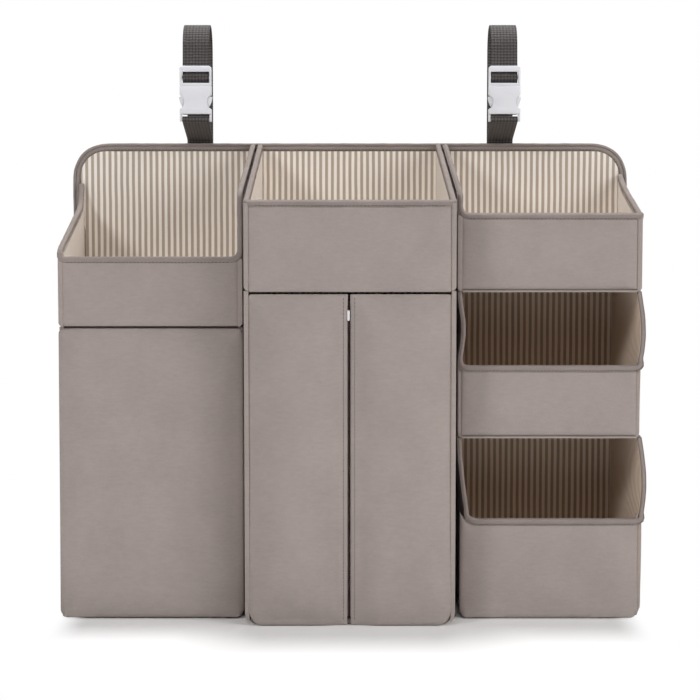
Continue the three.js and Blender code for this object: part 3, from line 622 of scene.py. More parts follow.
def tier_shift(tier, side, height):
    """Sideways shift of a tier's front edge at a height: the outer side bows out, the inner one leans in."""
    s = sizes()
    foot = rim_height(f"right_{tier}")
    head = box_of(f"right_{tier}_inner_wall")[1].z
    part = part_of(height - foot, head - foot)
    if side == "outer":
        out = s.tier_step if tier == "lower" else 0.0
        return s.tier_bulge * math.sin(math.pi * part ** 0.9) + out * (1 - 0.35 * part)
    if tier == "lower":
        return s.tier_lean * (1 - part) ** 1.5
    return s.tier_wave * math.sin(math.pi * part) ** 2


# How far the upper walls' rear ends stand to the right of their front ends
SPLAY = {"left_pocket_outer": -0.0032, "left_pocket_inner": 0.0038, "centre_pocket_left": 0.0038,
         "centre_pocket_right": -0.0052, "right_upper_inner": -0.0052, "right_upper_outer": 0.0050}


def splayed(place, wall):
    """A place on a wall once the wall's rear end is drawn aside."""
    front = box_of(f"{wall}_wall")[0].y
    return place + Vector((SPLAY[wall] * part_of(place.y - front, lining_front() - front), 0, 0))


def rim_route(name):
    """Route of one rim tape from end to end, over the walls as they stand."""
    route = straight_rim(name)
    if name in TIERS:
        return route
    walls = ("centre_pocket_left", "centre_pocket_right") if name == "centre_pocket" \
        else (f"{name}_inner", f"{name}_outer")
    centres = [(middle(f"{wall}_wall").x, wall) for wall in walls]
    return [splayed(p, min(centres, key=lambda c: abs(c[0] - p.x))[1]) for p in route]


def straight_rim(name):
    """Route of one rim tape over straight walls."""
    s = sizes()
    back = lining_front() - 0.0003
    if name == "centre_pocket":
        x = -middle("centre_pocket_left_wall").x
        y = rim_front(name)
        z = slope_height(y)
        corner = 0.005
        return rounded([(-x, back, slope_height(back)), (-x, y, z, corner), (x, y, z, corner),
                        (x, back, slope_height(back))])
    y, z = rim_front(name), rim_height(name)
    inner, outer = middle(f"{name}_inner_wall").x, middle(f"{name}_outer_wall").x
    if name in ("left_pocket", "right_upper"):
        left = name == "left_pocket"
        drop, depth, fall, bend = (0.037, 0.010, 0.059, 0.014) if left else (0.029, 0.032, 0.041, 0.060)
        return rounded([
            (outer, back, head_height() - drop),
            (outer, lining_front() - depth, head_height() - fall, bend),
            (outer, y, z + shoulder(name, y), 0.007),
            (outer, y, z, 0.006),
            (inner, y, z, s.rim_corner),
            (inner, y, slope_height(y), 0.007),
            (inner, back, slope_height(back)),
        ])
    tier = name.split("_")[1]
    head = box_of(f"{name}_inner_wall")[1].z
    corner = s.fold_corner if tier == "lower" else s.rim_corner
    inner_side = [(inner + tier_shift(tier, "inner", h), h) for h in heights_between(head, z + corner)]
    outer_side = [(outer + tier_shift(tier, "outer", h), h) for h in heights_between(z + s.rim_corner, head)]
    start = Vector((inner_side[-1][0], y, z + corner))
    stop = Vector((outer_side[0][0], y, z + s.rim_corner))
    turns = rounded([start, (start.x + 0.001, y, z, corner), (stop.x, y, z, s.rim_corner), stop])
    return ([Vector((x, y, h)) for x, h in inner_side[:-1]] + turns
            + [Vector((x, y, h)) for x, h in outer_side[1:]])


def shoulder(name, y):
    """How far the left pocket's outer edge stands above the rim near the front, where it drops in a round."""
    if name != "left_pocket":
        return 0.0005
    height, reach = 0.0085, 0.140
    return height * part_of(reach - (y - rim_front(name)), reach)


def heights_between(first, last, count=16):
    return [first + (last - first) * i / count for i in range(count + 1)]


# Pieces

class Piece(bpy.types.Operator):
    """Base of the operators that model the organizer's pieces"""
    bl_options = {"REGISTER", "UNDO"}

    @classmethod
    def poll(cls, context):
        return context.mode == "OBJECT"


class ORGANIZER_OT_back(Piece):
    """Covered back panel, its striped lining and the tape sewn round its edge"""
    bl_idname = "organizer.back"
    bl_label = "Back panel"

    def execute(self, context):
        s = sizes()
        panel = rounded_copy("back_panel", "back_panel_cover", 0.0004, 2, 40)
        fit(panel, "suede_grey", "back_panel", "cover_fabric")

        lining = merged_copy("back_lining", "back_lining_cloth")
        smooth(lining)
        fit(lining, "stripe_lining", "back_lining", "stripe_across")
        low, high = box_of("back_lining")

        low, high = box_of("back_edge_tape")
        half, foot_corner, head_corner = 0.00375, 0.006, 0.034
        x, foot, head, y = high.x - half, low.z + half, high.z - half, (low.y + high.y) / 2
        outline = [(0, y, foot), (x, y, foot, foot_corner), (x, y, head, head_corner), (-x, y, head, head_corner),
                   (-x, y, foot, foot_corner), (0, y, foot)]
        route = even(rounded(outline, 14), 0.003)
        tape = laid_tape("back_edge_tape_fold", route, -UPWARDS,
                         tape_outline((high.y - low.y) / 2 + 0.0002, half, 0.0016, 0.0016, 0.22), closed=True)
        recess = box_of("left_strap_anchor")[0].z
        wide_below, wider = 0.368, 0.0052  # the tape reaches further in beside the columns
        for vertex in tape.data.vertices:
            if vertex.co.z < wide_below and x - half < abs(vertex.co.x) + 0.0002 < x - 0.0015:
                vertex.co.x -= math.copysign(wider * min((wide_below - vertex.co.z) / 0.02, 1.0), vertex.co.x)
            vertex.co += 0.00022 * noise.noise_vector(vertex.co * 130.0)
            for node in ("left_strap_back", "right_strap_back"):
                a, b = box_of(node)
                if a.x - 0.0006 < vertex.co.x < b.x + 0.0006 and vertex.co.z > recess:
                    vertex.co.y = min(vertex.co.y, a.y - s.web_thickness - 0.0006)
        smooth(tape, 70)
        fit(tape, "binding_grey", "back_edge_tape", "edge_tape")

        inset = 0.0062
        x, foot, head = high.x - inset, low.z + inset, high.z - inset
        rows = []
        for y, way in ((low.y - 0.0002, -1), (high.y + 0.0002, 1)):
            route = rounded([(-x, y, (foot + head) / 2), (-x, y, head, 0.031), (x, y, head, 0.031),
                             (x, y, foot, 0.004), (-x, y, foot, 0.004), (-x, y, (foot + head) / 2)], 12)
            rows.append((route, Vector((0, way, 0))))
        stitches("back_edge_stitches", rows, "back_edge_tape", "binding_grey")
        return {"FINISHED"}


WALLS = [
    ("left_pocket_outer_wall", 1), ("left_pocket_inner_wall", -1),
    ("left_bin_outer_wall", 1), ("left_bin_inner_wall", -1),
    ("centre_pocket_left_wall", 1), ("centre_pocket_right_wall", -1),
    ("cupboard_left_wall", 1), ("cupboard_right_wall", -1),
    ("right_upper_inner_wall", 1), ("right_upper_outer_wall", -1),
]


class ORGANIZER_OT_walls(Piece):
    """Covered side walls, striped on the side towards their pocket"""
    bl_idname = "organizer.walls"
    bl_label = "Side walls"

    def execute(self, context):
        s = sizes()
        for node, inwards in WALLS:
            piece = rounded_copy(node, f"{node}_cover", s.wall_edge)
            name = node.removesuffix("_wall")
            if name in SPLAY:
                pocket = name.rsplit("_", 1)[0]
                edge = rim_height(pocket) - 0.006
                for vertex in piece.data.vertices:
                    if vertex.co.z > edge:
                        vertex.co.z += 0.0012
                        if name == "left_pocket_outer":
                            vertex.co.z += shoulder(pocket, vertex.co.y)
                    vertex.co = splayed(vertex.co, name)
            fit(piece, "suede_grey", node, "cover_fabric", "stripe_along")
            paint_facing(piece, Vector((inwards, 0, 0)), 1)
        for tier in ("middle", "lower"):
            for side, inwards in (("inner", 1), ("outer", -1)):
                soft_wall(tier, side, inwards)
        return {"FINISHED"}


def soft_wall(tier, side, inwards):
    """A tier's wall, which follows the bowed or leaning edge of its rim tape towards the front."""
    s = sizes()
    node = f"right_{tier}_{side}_wall"
    low, high = box_of(node)
    centre = (low.x + high.x) / 2
    rim = rim_height(f"right_{tier}")
    piece, places = grid(f"{node}_cover", 40, 44)
    round_foot = 0.009 if tier == "lower" else 0.004
    edge = s.wall_edge
    for vertex, (across, up) in zip(piece.data.vertices, places):
        z = low.z - 0.0006 + (high.z - low.z + 0.0022) * up
        above = part_of(z - rim + 0.002, 0.004)
        front = low.y + edge + 0.003 * above
        y = high.y - edge - (high.y - edge - front) * across
        shift = tier_shift(tier, side, z) * across ** 1.6
        under = max(round_foot - (z - low.z), 0.0)
        tuck = min(round_foot - math.sqrt(max(round_foot ** 2 - under ** 2, 0.0)), s.wall)
        ripple = 0.0006 * noise.noise(Vector((centre * 9, y * 22, z * 22)))
        vertex.co = (centre + shift + inwards * tuck * 0.8 + ripple, y, z)
    thicken(piece, s.soft_wall, s.wall_edge, 3)
    fit(piece, "suede_grey", node, "cover_fabric", "stripe_along")
    paint_facing(piece, Vector((inwards, 0, 0)), 1, 0.6)


FLOORS = ["left_pocket_floor", "left_bin_floor", "centre_pocket_floor", "cupboard_floor", "right_upper_floor",
          "right_middle_floor", "right_lower_floor"]


class ORGANIZER_OT_floors(Piece):
    """Lined floor boards and the header strip over the bin"""
    bl_idname = "organizer.floors"
    bl_label = "Floors"

    def execute(self, context):
        s = sizes()
        for node in FLOORS:
            piece = rounded_copy(node, f"{node}_cover", s.wall_edge)
            fit(piece, "stripe_lining", node, "cover_fabric", "stripe_across")
            paint_facing(piece, UPWARDS, 1)
            if node in ("right_upper_floor", "right_middle_floor"):
                self.welt(piece, node)
        header = rounded_copy("left_bin_header", "left_bin_header_cover", s.wall_edge)
        fit(header, "suede_grey", "left_bin_header", "cover_fabric")
        return {"FINISHED"}

    def welt(self, floor, node):
        """A round welt under the front that stands on a floor, and the floor's edge drawn back behind it."""
        s = sizes()
        low, high = box_of(node)
        for vertex in floor.data.vertices:
            if vertex.co.y < low.y + 0.002:
                vertex.co.y += 0.0026
        y, z = low.y - 0.0002, low.z + 0.0003
        route = even([Vector((low.x, y, z)), Vector((high.x, y, z))], 0.004)
        piece = laid_tape(f"{node}_welt", route, UPWARDS, rounded_outline(0.0016, s.welt, s.welt * 0.9))
        ruffle(piece, 0.0002, 60.0)
        smooth(piece, 70)
        attach(piece, "suede_grey", node, "cover_fabric")


# Each front: how far its cover reaches past its board at the left, right, foot and head, then the radius of its
# corners at the left foot, right foot, left head and right head, and the radius of its fold
FRONTS = {
    "left_pocket_front": ((0.0014, 0.0014, -0.0004, 0.0), (0.003, 0.003, 0.0, 0.0), 0.0022),
    "centre_pocket_front": ((0.0005, 0.0005, 0.0012, 0.0), (0.002, 0.002, 0.0, 0.0), 0.0018),
    "right_upper_front": ((0.0014, 0.0010, 0.0022, 0.0), (0.002, 0.002, 0.0, 0.0), 0.0022),
    "right_middle_front": ((0.0014, 0.0010, 0.0022, 0.0), (0.002, 0.002, 0.0, 0.0), 0.0022),
    "right_lower_front": ((0.0014, 0.0038, 0.0, 0.0), (0.008, 0.008, 0.0, 0.0), 0.0030),
    "left_bin_flap": ((0.0006, 0.0004, 0.0005, 0.0), (0.0075, 0.0085, 0.005, 0.005), 0.0042),
    "cupboard_left_door": ((0.0010, 0.0004, 0.0006, -0.0015), (0.013, 0.001, 0.003, 0.0012), 0.0024),
    "cupboard_right_door": ((0.0004, 0.0010, 0.0006, -0.0015), (0.001, 0.013, 0.0012, 0.003), 0.0024),
}


# How far the foot of a front that stands on the ground comes forward
KICK = {"right_lower_front": 0.004, "left_bin_flap": 0.004, "cupboard_left_door": 0.003, "cupboard_right_door": 0.003}


class ORGANIZER_OT_fronts(Piece):
    """Padded fronts, doors and flap"""
    bl_idname = "organizer.fronts"
    bl_label = "Padded fronts"

    def execute(self, context):
        for node in FRONTS:
            padded_front(node)
        return {"FINISHED"}


def fold_edge(radius, depth):
    """Lines round a fold: how far each one lies in from the edge and back from the face."""
    turns = [math.radians(degrees) for degrees in (0, 20, 40, 58, 74)]
    return [(0.0, depth)] + [(radius * (1 - math.cos(a)), radius * (1 - math.sin(a))) for a in turns]


def fold_lines(span, pitch, first, last, depth):
    """Lines across a cover: the place of each one, and how far back the fold at either edge takes it."""
    count = max(2, round((span - first - last) / pitch))
    flat = [(first + (span - first - last) * i / count, 0.0) for i in range(count + 1)]
    return fold_edge(first, depth) + flat + [(span - place, back) for place, back in reversed(fold_edge(last, depth))]


def turned_corner(x, z, box, radii):
    """A place in a cover's outline once the outline's corners are rounded."""
    x0, x1, z0, z1 = box
    corners = ((x0, z0, 1, 1), (x1, z0, -1, 1), (x0, z1, 1, -1), (x1, z1, -1, -1))
    for (cx, cz, sx, sz), radius in zip(corners, radii):
        dx, dz = radius - (x - cx) * sx, radius - (z - cz) * sz
        if radius > 0 and dx > 0 and dz > 0:
            shrink = max(dx, dz) / math.hypot(dx, dz)
            return cx + sx * (radius - dx * shrink), cz + sz * (radius - dz * shrink)
    return x, z


def upper_edge(node, x):
    """Height of a pocket front's upper edge, which follows its rim tape up to the taller wall."""
    s = sizes()
    name = node.removesuffix("_front")
    height = rim_height(name)
    if name == "centre_pocket":
        return height
    walls = {"inner": s.fold_corner if name == "right_lower" else s.rim_corner}
    if name != "right_upper":
        walls["outer"] = 0.006 if name == "left_pocket" else s.rim_corner
    for side, corner in walls.items():
        reach = corner - abs(x - middle(f"{name}_{side}_wall").x)
        if reach > 0:
            height += corner - math.sqrt(max(corner ** 2 - min(reach, corner) ** 2, 0.0))
    return height


def slit_pinch(node, across, height):
    """How far a door's edge is drawn over the slit towards its upper end."""
    if not node.endswith("_door"):
        return 0.0
    pull = 0.0008 * eased(part_of(height - box_of(node)[1].z + 0.014, 0.012))
    return pull * across ** 8 if "left" in node else -pull * (1 - across) ** 8


def flare(node, across, up):
    """How far the bin flap widens to the left towards its foot."""
    return -0.0012 * (1 - across) * (1 - up) if node == "left_bin_flap" else 0.0


def bulge(node, place):
    """How far a door stands out between head and foot: all across the left one, less towards the right one's hinge."""
    if not node.endswith("_door"):
        return 0.0
    low, high = box_of(node)
    flat, fade, sill = 0.007, 0.038, 0.006  # along the slit, where the pull passes, and towards head and foot
    part = part_of(place.x - low.x - (0.0 if "left" in node else flat), high.x - low.x - flat)
    ends = [part_of(rest, fade) for rest in (high.z - place.z, place.z - low.z - sill)]
    across = 4 * part * (1 - part) if "left" in node else 0.4 * (1 - part ** 3) * (1 - (1 - part) ** 8)
    return sizes().door_bulge * across * math.prod(end * (2 - end) for end in ends)


def kick(node, place, down):
    """How far the foot of a front on the ground comes forward, except along the slit, where the pull passes."""
    clear = 1.0
    if node.endswith("_door"):
        low, high = box_of(node)
        away = high.x - place.x if "left" in node else place.x - low.x
        clear = part_of(away - 0.006, 0.020)
    return KICK.get(node, 0.0) * down ** 4 * eased(clear)


def padded_front(node):
    """A front's cover folded over its board, then blown up a little over the padding."""
    s = sizes()
    low, high = box_of(node)
    (left, right, below, above), radii, fold = FRONTS[node]
    x0, x1, z0, z1 = low.x - left, high.x + right, low.z - below, high.z + above
    pocket = node.endswith("_front")
    if pocket:
        z1 = rim_height(node.removesuffix("_front"))
    depth = high.y - low.y
    columns = fold_lines(x1 - x0, s.padding_mesh, fold, fold, depth)
    rows = fold_lines(z1 - z0, s.padding_mesh, s.foot_fold if node in KICK else fold, fold, depth)
    piece, places = grid(f"{node}_padded", len(columns) - 1, len(rows) - 1)
    for vertex, (across, up) in zip(piece.data.vertices, places):
        dx, bx = columns[round(across * (len(columns) - 1))]
        dz, bz = rows[round(up * (len(rows) - 1))]
        x, z = turned_corner(x0 + dx, z0 + dz, (x0, x1, z0, z1), radii)
        if pocket:
            z = z0 + (z - z0) * (upper_edge(node, x) - z0) / (z1 - z0)
        vertex.co = (x + slit_pinch(node, across, z) + flare(node, across, up), low.y + max(bx, bz), z)
    clean(piece, weld=True, close=True)
    held = [v.index for v in piece.data.vertices if v.co.y > low.y + fold * 0.4]
    swell(piece, held, 4.0, s.padding if pocket else s.door_padding)
    for vertex in piece.data.vertices:
        loose = 1.0 - part_of(vertex.co.y - low.y, depth)
        down = 1.0 - part_of(vertex.co.z - z0, z1 - z0)
        vertex.co.y += loose * (0.0003 * noise.noise(vertex.co * 21.0) - kick(node, vertex.co, down)
                                - bulge(node, vertex.co))
    smooth(piece, 60)
    fit(piece, "suede_grey", node, "cover_fabric", "stripe_across")
    paint_facing(piece, -FORWARDS, 1, 0.8)


def swell(piece, held, pressure, most):
    """Blows a closed cloth up from inside, holds some of its points and limits how far the others move."""
    scene = bpy.context.scene
    start = [v.co.copy() for v in piece.data.vertices]
    piece.vertex_groups.new(name="held").add(held, 1.0, "REPLACE")
    modifier = piece.modifiers.new("Cloth", "CLOTH")
    cloth = modifier.settings
    cloth.vertex_group_mass = "held"
    cloth.use_pressure = True
    cloth.uniform_pressure_force = pressure
    cloth.quality = 4
    cloth.tension_stiffness = cloth.compression_stiffness = 12.0
    cloth.bending_stiffness = 1.5
    cloth.effector_weights.gravity = 0.0
    modifier.collision_settings.use_collision = False
    modifier.point_cache.frame_start = 1
    modifier.point_cache.frame_end = 16
    for number in range(1, 17):
        scene.frame_set(number)
    shaped = piece.evaluated_get(bpy.context.evaluated_depsgraph_get())
    moved = [v.co.copy() for v in shaped.data.vertices]
    piece.modifiers.remove(modifier)
    scene.frame_set(1)
    ways = [after - before for before, after in zip(start, moved)]
    ways = [way.normalized() * most * math.tanh(way.length / most) for way in ways]
    fixed = set(held)
    for _ in range(3):
        sums, counts = [way.copy() for way in ways], [1] * len(ways)
        for edge in piece.data.edges:
            for here, there in (edge.vertices, reversed(edge.vertices)):
                sums[here] += ways[there]
                counts[here] += 1
        ways = [ways[i] if i in fixed else sums[i] / counts[i] for i in range(len(ways))]
    for vertex, before, way in zip(piece.data.vertices, start, ways):
        vertex.co = before + way
    piece.vertex_groups.clear()


class ORGANIZER_OT_rims(Piece):
    """Folded tapes on the rims, with the stitches that hold them"""
    bl_idname = "organizer.rims"
    bl_label = "Rim tapes"

    def execute(self, context):
        s = sizes()
        for name in RIMS:
            route = even(rim_route(name), 0.0022)
            tier = name in TIERS
            foot, front = rim_height(name), rim_front(name)
            slim = s.leg_slim if tier else s.rim_slim

            def width(place):
                return 1.0 + (slim - 1.0) * eased(part_of(max(place.z - foot, place.y - front), 0.010))

            outline = tape_outline(s.rim_half, s.rim_half, s.rim_half * 0.55, 0.0004, -s.rim_seam, tier)
            ahead = [p + FORWARDS * 0.0008 for p in route]
            piece = laid_tape(f"{name}_rim_tape", ahead, FORWARDS if tier else UPWARDS, outline, width)
            ruffle(piece, 0.0002, 110.0)
            smooth(piece, 70)
            fit(piece, "binding_grey", f"{name}_rim", "edge_tape")
            stitches(f"{name}_rim_stitches", self.rows(name, route), f"{name}_rim", "binding_grey")
        return {"FINISHED"}

    def rows(self, name, route):
        """The row in the tape's groove at the front, and the rows beside the tape on the walls."""
        s = sizes()
        low, high = box_of(f"{name}_front")
        drop = s.rim_half * s.rim_seam
        ahead = [p for p in route if abs(p.y - rim_front(name)) < 1e-5 and p.z < rim_height(name) + 0.0005]
        ahead = [Vector((p.x, low.y, p.z - drop)) for p in ahead[1:-1]]
        rows = [(laid_on(f"{name}_rim_tape", ahead, FORWARDS), FORWARDS)]
        if name in TIERS:
            return rows
        drop = s.rim_half * s.rim_slim + 0.0012
        middle_x = (low.x + high.x) / 2
        for way in (-1, 1):
            edge = [p for p in route if p.y > low.y + 0.010 and (p.x - middle_x) * way > 0]
            for side in (-1, 1):
                away = Vector((side * (s.wall / 2 + 0.0001), 0, -drop))
                rows.append(([p + away for p in edge], Vector((side, 0, 0))))
        return rows


class ORGANIZER_OT_fastenings(Piece):
    """Hook and loop tapes of the flap, zip tapes with their teeth, slider and pull"""
    bl_idname = "organizer.fastenings"
    bl_label = "Fastenings"

    def execute(self, context):
        for node in ("flap_hook_tape", "flap_loop_tape"):
            fit(rounded_copy(node, f"{node}_strip", 0.0003, 2), "hook_loop", node, "grip_tape")
        for side, way in (("left", -1), ("right", 1)):
            node = f"zip_{side}_half"
            fit(rounded_copy(node, f"{node}_tape", 0.0002, 2), "zip_tape", node, "zip_tape")
            self.teeth(node, side, way)
            self.topstitch(side, way)
        for node, name, edge in (("zip_slider", "zip_slider_body", 0.00018), ("zip_pull", "zip_pull_tab", 0.00035)):
            fit(rounded_copy(node, name, edge, least=40), "white_plastic", node, "white_plastic")
        return {"FINISHED"}

    def teeth(self, node, side, way):
        """Rounded teeth along one coil."""
        s = sizes()
        low, high = box_of(node)
        near = high.x if way < 0 else low.x
        tooth = added(bpy.ops.mesh.primitive_cube_add, f"zip_{side}_teeth", size=1.0)
        bpy.ops.object.mode_set(mode="EDIT")
        bpy.ops.mesh.select_all(action="SELECT")
        bpy.ops.transform.resize(value=(0.0009, 0.0010, s.tooth_pitch * 0.55))
        bpy.ops.mesh.bevel(offset=0.0003, segments=1, affect="EDGES")
        bpy.ops.transform.translate(value=(near + way * 0.00055, low.y - 0.0001, low.z + s.tooth_pitch))
        bpy.ops.object.mode_set(mode="OBJECT")
        count = int((high.z - low.z) / s.tooth_pitch) - 1
        apply(tooth, "ARRAY", count=count, use_relative_offset=False, use_constant_offset=True,
              constant_offset_displace=(0, 0, s.tooth_pitch))
        smooth(tooth, 50)
        attach(tooth, "zip_tape", node, "zip_coil")

    def topstitch(self, side, way):
        """The row that holds the zip tape along a door's edge."""
        node = f"cupboard_{side}_door"
        low, high = box_of(node)
        x = (high.x if way < 0 else low.x) + way * 0.0030
        route = even([Vector((x, low.y, low.z + 0.004)), Vector((x, low.y, high.z - 0.004))], 0.006)
        route = laid_on(f"{node}_padded", route, FORWARDS)
        stitches(f"{node}_stitches", [(route, FORWARDS)], node, "suede_grey")


class ORGANIZER_OT_straps(Piece):
    """Strap webbing: the loop with its tail through the ladder lock, and the short anchor strap"""
    bl_idname = "organizer.straps"
    bl_label = "Straps"

    def execute(self, context):
        for side in ("left", "right"):
            self.loop(side)
            self.anchor(side)
        return {"FINISHED"}

    def ribbon(self, name, route, x):
        """Webbing laid along a route, with its map in metres."""
        s = sizes()
        route = even(route, 0.0016)
        total = sum((b - a).length for a, b in zip(route, route[1:]))
        rows = len(route) - 1
        piece, places = grid(name, 6, rows)
        for vertex, (across, along) in zip(piece.data.vertices, places):
            place = route[round(along * rows)]
            vertex.co = (x + (across - 0.5) * s.web_width, place.y, place.z)
        for corner in piece.data.uv_layers.active.data:
            corner.uv = (corner.uv[0] * s.web_width, corner.uv[1] * total)
        thicken(piece, s.web_thickness, 0.0004, 2, 50)
        return piece

    def loop(self, side):
        """Up the back, over the crest and down through the ladder lock to its loose tail."""
        s = sizes()
        low, high = box_of(f"{side}_strap_back")
        x, back, _ = middle(f"{side}_strap_back")
        crest = box_of(f"{side}_strap_front")[1].z - s.web_thickness / 2
        bar_y = middle(f"{side}_buckle_socket").y
        radius = 0.023
        over = [Vector((x, back - radius + radius * math.cos(i * math.pi / 24),
                        crest - radius + radius * math.sin(i * math.pi / 24))) for i in range(25)]
        front = back - 2 * radius
        top = box_of(f"{side}_buckle_plug")[1].z
        behind = bar_y + 0.0032
        wrap = bar_y - 0.0008
        tail = 0.030
        lock = rounded([
            (x, front, crest - radius - 0.0003),
            (x, behind, top, 0.0044),
            (x, behind, top - 0.0059, 0.001),
            (x, wrap, top - 0.0095, 0.0014),
            (x, wrap, top - 0.0121, 0.0014),
            (x, front, top - 0.0157, 0.001),
            (x, front, top - 0.0157 - tail),
        ])
        route = [Vector((x, back, low.z))] + over + lock
        piece = self.ribbon(f"{side}_strap_loop", route, x)
        piece.data.materials.append(finish("webbing"))
        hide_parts(f"{side}_strap_back", f"{side}_strap_front")
        sewn_end, free_end = (x, back, 0.446), (x, back - 0.020, 0.466)  # a place on the back run and one in front of it and higher; nothing uses them
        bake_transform(piece)
        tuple(sewn_end)
        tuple(free_end)

        inset = 0.003
        half, foot = s.web_width / 2 - inset, low.z + inset
        y, head = high.y + 0.0001, box_of("back_panel")[1].z - 0.010
        corners = [(x - half, y, foot), (x + half, y, foot), (x + half, y, head), (x - half, y, head)]
        box = [Vector(corner) for corner in corners]
        lines = [*zip(box, box[1:] + box[:1]), (box[0], box[2]), (box[1], box[3])]
        rows = [(line, -FORWARDS) for line in lines]
        stitches(f"{side}_strap_stitches", rows, f"{side}_strap_back", "webbing")

    def anchor(self, side):
        """From the panel up over its edge, round the buckle's bar and back along itself."""
        s = sizes()
        x, back, _ = middle(f"{side}_strap_back")
        sewn = back - s.web_thickness - 0.0003
        top = box_of("back_edge_tape")[1].z
        bar = 0.0017  # half the thickness of the buckle's bar
        turn_z, bar_z = top + 0.004, box_of(f"{side}_buckle_socket")[0].z + bar
        bar_y = middle(f"{side}_buckle_socket").y
        wrap = bar + 0.0003 + s.web_thickness / 2
        gap = Vector((sewn - bar_y, turn_z - bar_z))
        bearing, spread = math.atan2(gap.y, gap.x), math.acos(wrap / gap.length)
        first, turn = bearing - spread, 2 * math.pi - 2 * spread
        around = [(x, bar_y + wrap * math.cos(first - turn * i / 14), bar_z + wrap * math.sin(first - turn * i / 14))
                  for i in range(15)]
        away = first - turn - math.pi / 2
        tail = (x, around[-1][1] + 0.030 * math.cos(away), around[-1][2] + 0.030 * math.sin(away))
        route = rounded([(x, sewn, box_of(f"{side}_strap_anchor")[0].z), (x, sewn, turn_z, 0.004)] + around + [tail])
        piece = self.ribbon(f"{side}_strap_anchor_web", route, x)
        fit(piece, "webbing", f"{side}_strap_anchor", "webbing")


class ORGANIZER_OT_buckles(Piece):
    """Buckle plugs with their ladder locks, sockets and sprung latches"""
    bl_idname = "organizer.buckles"
    bl_label = "Buckles"

    def execute(self, context):
        s = sizes()
        for side in ("left", "right"):
            for part in ("buckle_plug", "buckle_socket", "buckle_outer_latch", "buckle_inner_latch"):
                node = f"{side}_{part}"
                piece = merged_copy(node, f"{node}_moulding")
                apply(piece, "BEVEL", width=s.plastic_edge, segments=3, angle_limit=math.radians(40))
                self.settle(piece, side, part)
                smooth(piece, 50)
                fit(piece, "white_plastic", node, "white_plastic")
        return {"FINISHED"}

    def settle(self, piece, side, part):
        """Closes the plug's shoulder on the socket, and lets the latches' thumb pads stand out of its sides."""
        mouth = box_of(f"{side}_buckle_socket")[1].z
        centre = middle(f"{side}_buckle_socket").x
        close, arm, pad, thumb = 0.00055, 0.0085, 0.004, 0.0012
        for vertex in piece.data.vertices:
            if part == "buckle_plug" and mouth < vertex.co.z < mouth + 0.0009:
                vertex.co.z -= close
            if part.endswith("latch"):
                aside = vertex.co.x - centre
                vertex.co.x += math.copysign(thumb * part_of(abs(aside) - arm, pad), aside)


# Each lamp: its place, what it aims at and its size
LAMPS = {
    "front": ((-0.2, -2.2, 1.9), (0, 0, 0.2), 1.1),
    "left": ((-1.6, -1.6, 1.35), (0, 0, 0.25), 0.65),
    "right": ((2.0, -1.2, 1.2), (0, 0, 0.25), 1.6),
    "top": ((0.0, 0.26, 2.2), (0, -0.1, 0.0), 0.42),
}
WHITE = (1.0, 1.0, 1.0, 1.0)


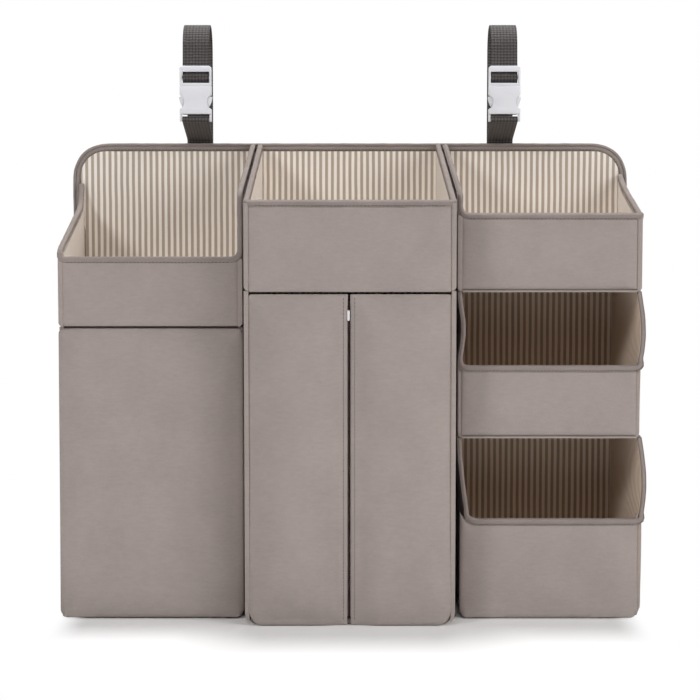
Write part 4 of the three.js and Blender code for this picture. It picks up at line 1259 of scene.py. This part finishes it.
class ORGANIZER_OT_stage(Piece):
    """White floor and backdrop, soft light and the camera"""
    bl_idname = "organizer.stage"
    bl_label = "Stage"

    def execute(self, context):
        scene = context.scene
        stage = scene.organizer_stage
        floor = added(bpy.ops.mesh.primitive_plane_add, "stage_floor", size=2.6, location=(0, -0.6, 0))
        bpy.ops.object.transform_apply(location=True)
        floor.data.materials.append(find_or_make("organizer_stage_white", self.white))

        world = bpy.data.worlds.new("stage_light")
        world.use_nodes = True
        tree = world.node_tree
        light = tree.nodes["Background"]
        feed(tree, light, {"Strength": stage.daylight, "Color": WHITE})
        plain = add_node(tree, "ShaderNodeBackground", {"Color": WHITE, "Strength": 1.0})
        both = add_node(tree, "ShaderNodeMixShader", {0: self.seen(tree), 1: light.outputs[0], 2: plain.outputs[0]})
        feed(tree, tree.nodes["World Output"], {"Surface": both.outputs[0]})
        scene.world = world
        for name, (place, aim, size) in LAMPS.items():
            self.lamp(f"stage_{name}", place, aim, size, getattr(stage, name))

        camera = bpy.data.cameras.new("stage_camera")
        camera.lens = stage.lens
        camera.sensor_width = 36.0
        view = bpy.data.objects.new("stage_camera", camera)
        view.location = (0.0, lining_front() - stage.distance, stage.height)
        view.rotation_euler = (stage.tilt, 0.0, 0.0)
        scene.collection.objects.link(view)
        scene.camera = view
        scene.view_settings.view_transform = "Standard"
        return {"FINISHED"}

    def white(self, tree, shader):
        """White board near the middle, plain white further out where the camera sees it."""
        feed(tree, shader, {"Base Color": shade(WHITE[:3], 0.93), "Roughness": 0.9, "Specular IOR Level": 0.0})
        stage = bpy.context.scene.organizer_stage
        place = place_in(tree)
        away = add_node(tree, "ShaderNodeVectorMath", {0: place}, operation="LENGTH").outputs["Value"]
        aside = math_node(tree, "ABSOLUTE", add_node(tree, "ShaderNodeSeparateXYZ", {0: place}).outputs["X"])
        part = math_node(tree, "MAXIMUM", ramp(tree, away, stage.lit_floor, stage.white_floor),
                         ramp(tree, aside, stage.lit_floor * 0.78, stage.lit_floor * 0.88))
        plain = add_node(tree, "ShaderNodeEmission", {"Color": WHITE, "Strength": 1.0})
        both = add_node(tree, "ShaderNodeMixShader", {0: math_node(tree, "MULTIPLY", part, self.seen(tree)),
                                                      1: shader.outputs[0], 2: plain.outputs[0]})
        feed(tree, tree.nodes["Material Output"], {"Surface": both.outputs[0]})

    def seen(self, tree):
        """1 for what the camera sees, straight or in a gloss."""
        rays = add_node(tree, "ShaderNodeLightPath").outputs
        return math_node(tree, "MAXIMUM", rays["Is Camera Ray"],
                         math_node(tree, "MAXIMUM", rays["Is Glossy Ray"], rays["Is Transmission Ray"]))

    def lamp(self, name, place, aim, size, power):
        data = bpy.data.lights.new(name, "AREA")
        data.shape = "DISK"
        data.size = size
        data.energy = power
        lamp = bpy.data.objects.new(name, data)
        lamp.location = place
        lamp.rotation_euler = (Vector(aim) - Vector(place)).to_track_quat("-Z", "Y").to_euler()
        bpy.context.scene.collection.objects.link(lamp)


STEPS = [ORGANIZER_OT_back, ORGANIZER_OT_walls, ORGANIZER_OT_floors, ORGANIZER_OT_fronts, ORGANIZER_OT_rims,
         ORGANIZER_OT_fastenings, ORGANIZER_OT_straps, ORGANIZER_OT_buckles, ORGANIZER_OT_stage]


class ORGANIZER_PT_panel(bpy.types.Panel):
    """Lists the steps that model the organizer"""
    bl_label = "Organizer"
    bl_idname = "ORGANIZER_PT_panel"
    bl_space_type = "VIEW_3D"
    bl_region_type = "UI"
    bl_category = "Organizer"

    def draw(self, context):
        for step in STEPS:
            self.layout.operator(step.bl_idname)
        for name in GROUPS:
            group = getattr(context.scene, name)
            for setting in group.__annotations__:
                self.layout.prop(group, setting)


GROUPS = {"organizer_sizes": OrganizerSizes, "organizer_colours": OrganizerColours, "organizer_stage": OrganizerStage}
CLASSES = [*GROUPS.values(), *STEPS, ORGANIZER_PT_panel]
SEED = 7  # keeps the unevenness of the tapes the same in each run


def register():
    noise.seed_set(SEED)
    for cls in CLASSES:
        bpy.utils.register_class(cls)
    for name, group in GROUPS.items():
        setattr(bpy.types.Scene, name, PointerProperty(type=group))


def unregister():
    for name in GROUPS:
        delattr(bpy.types.Scene, name)
    for cls in reversed(CLASSES):
        bpy.utils.unregister_class(cls)


def main():
    register()
    bpy.ops.organizer.back()
    bpy.ops.organizer.walls()
    bpy.ops.organizer.floors()
    bpy.ops.organizer.fronts()
    bpy.ops.organizer.rims()
    bpy.ops.organizer.fastenings()
    bpy.ops.organizer.straps()
    bpy.ops.organizer.buckles()
    bpy.ops.organizer.stage()


if __name__ == "__main__":
    main()
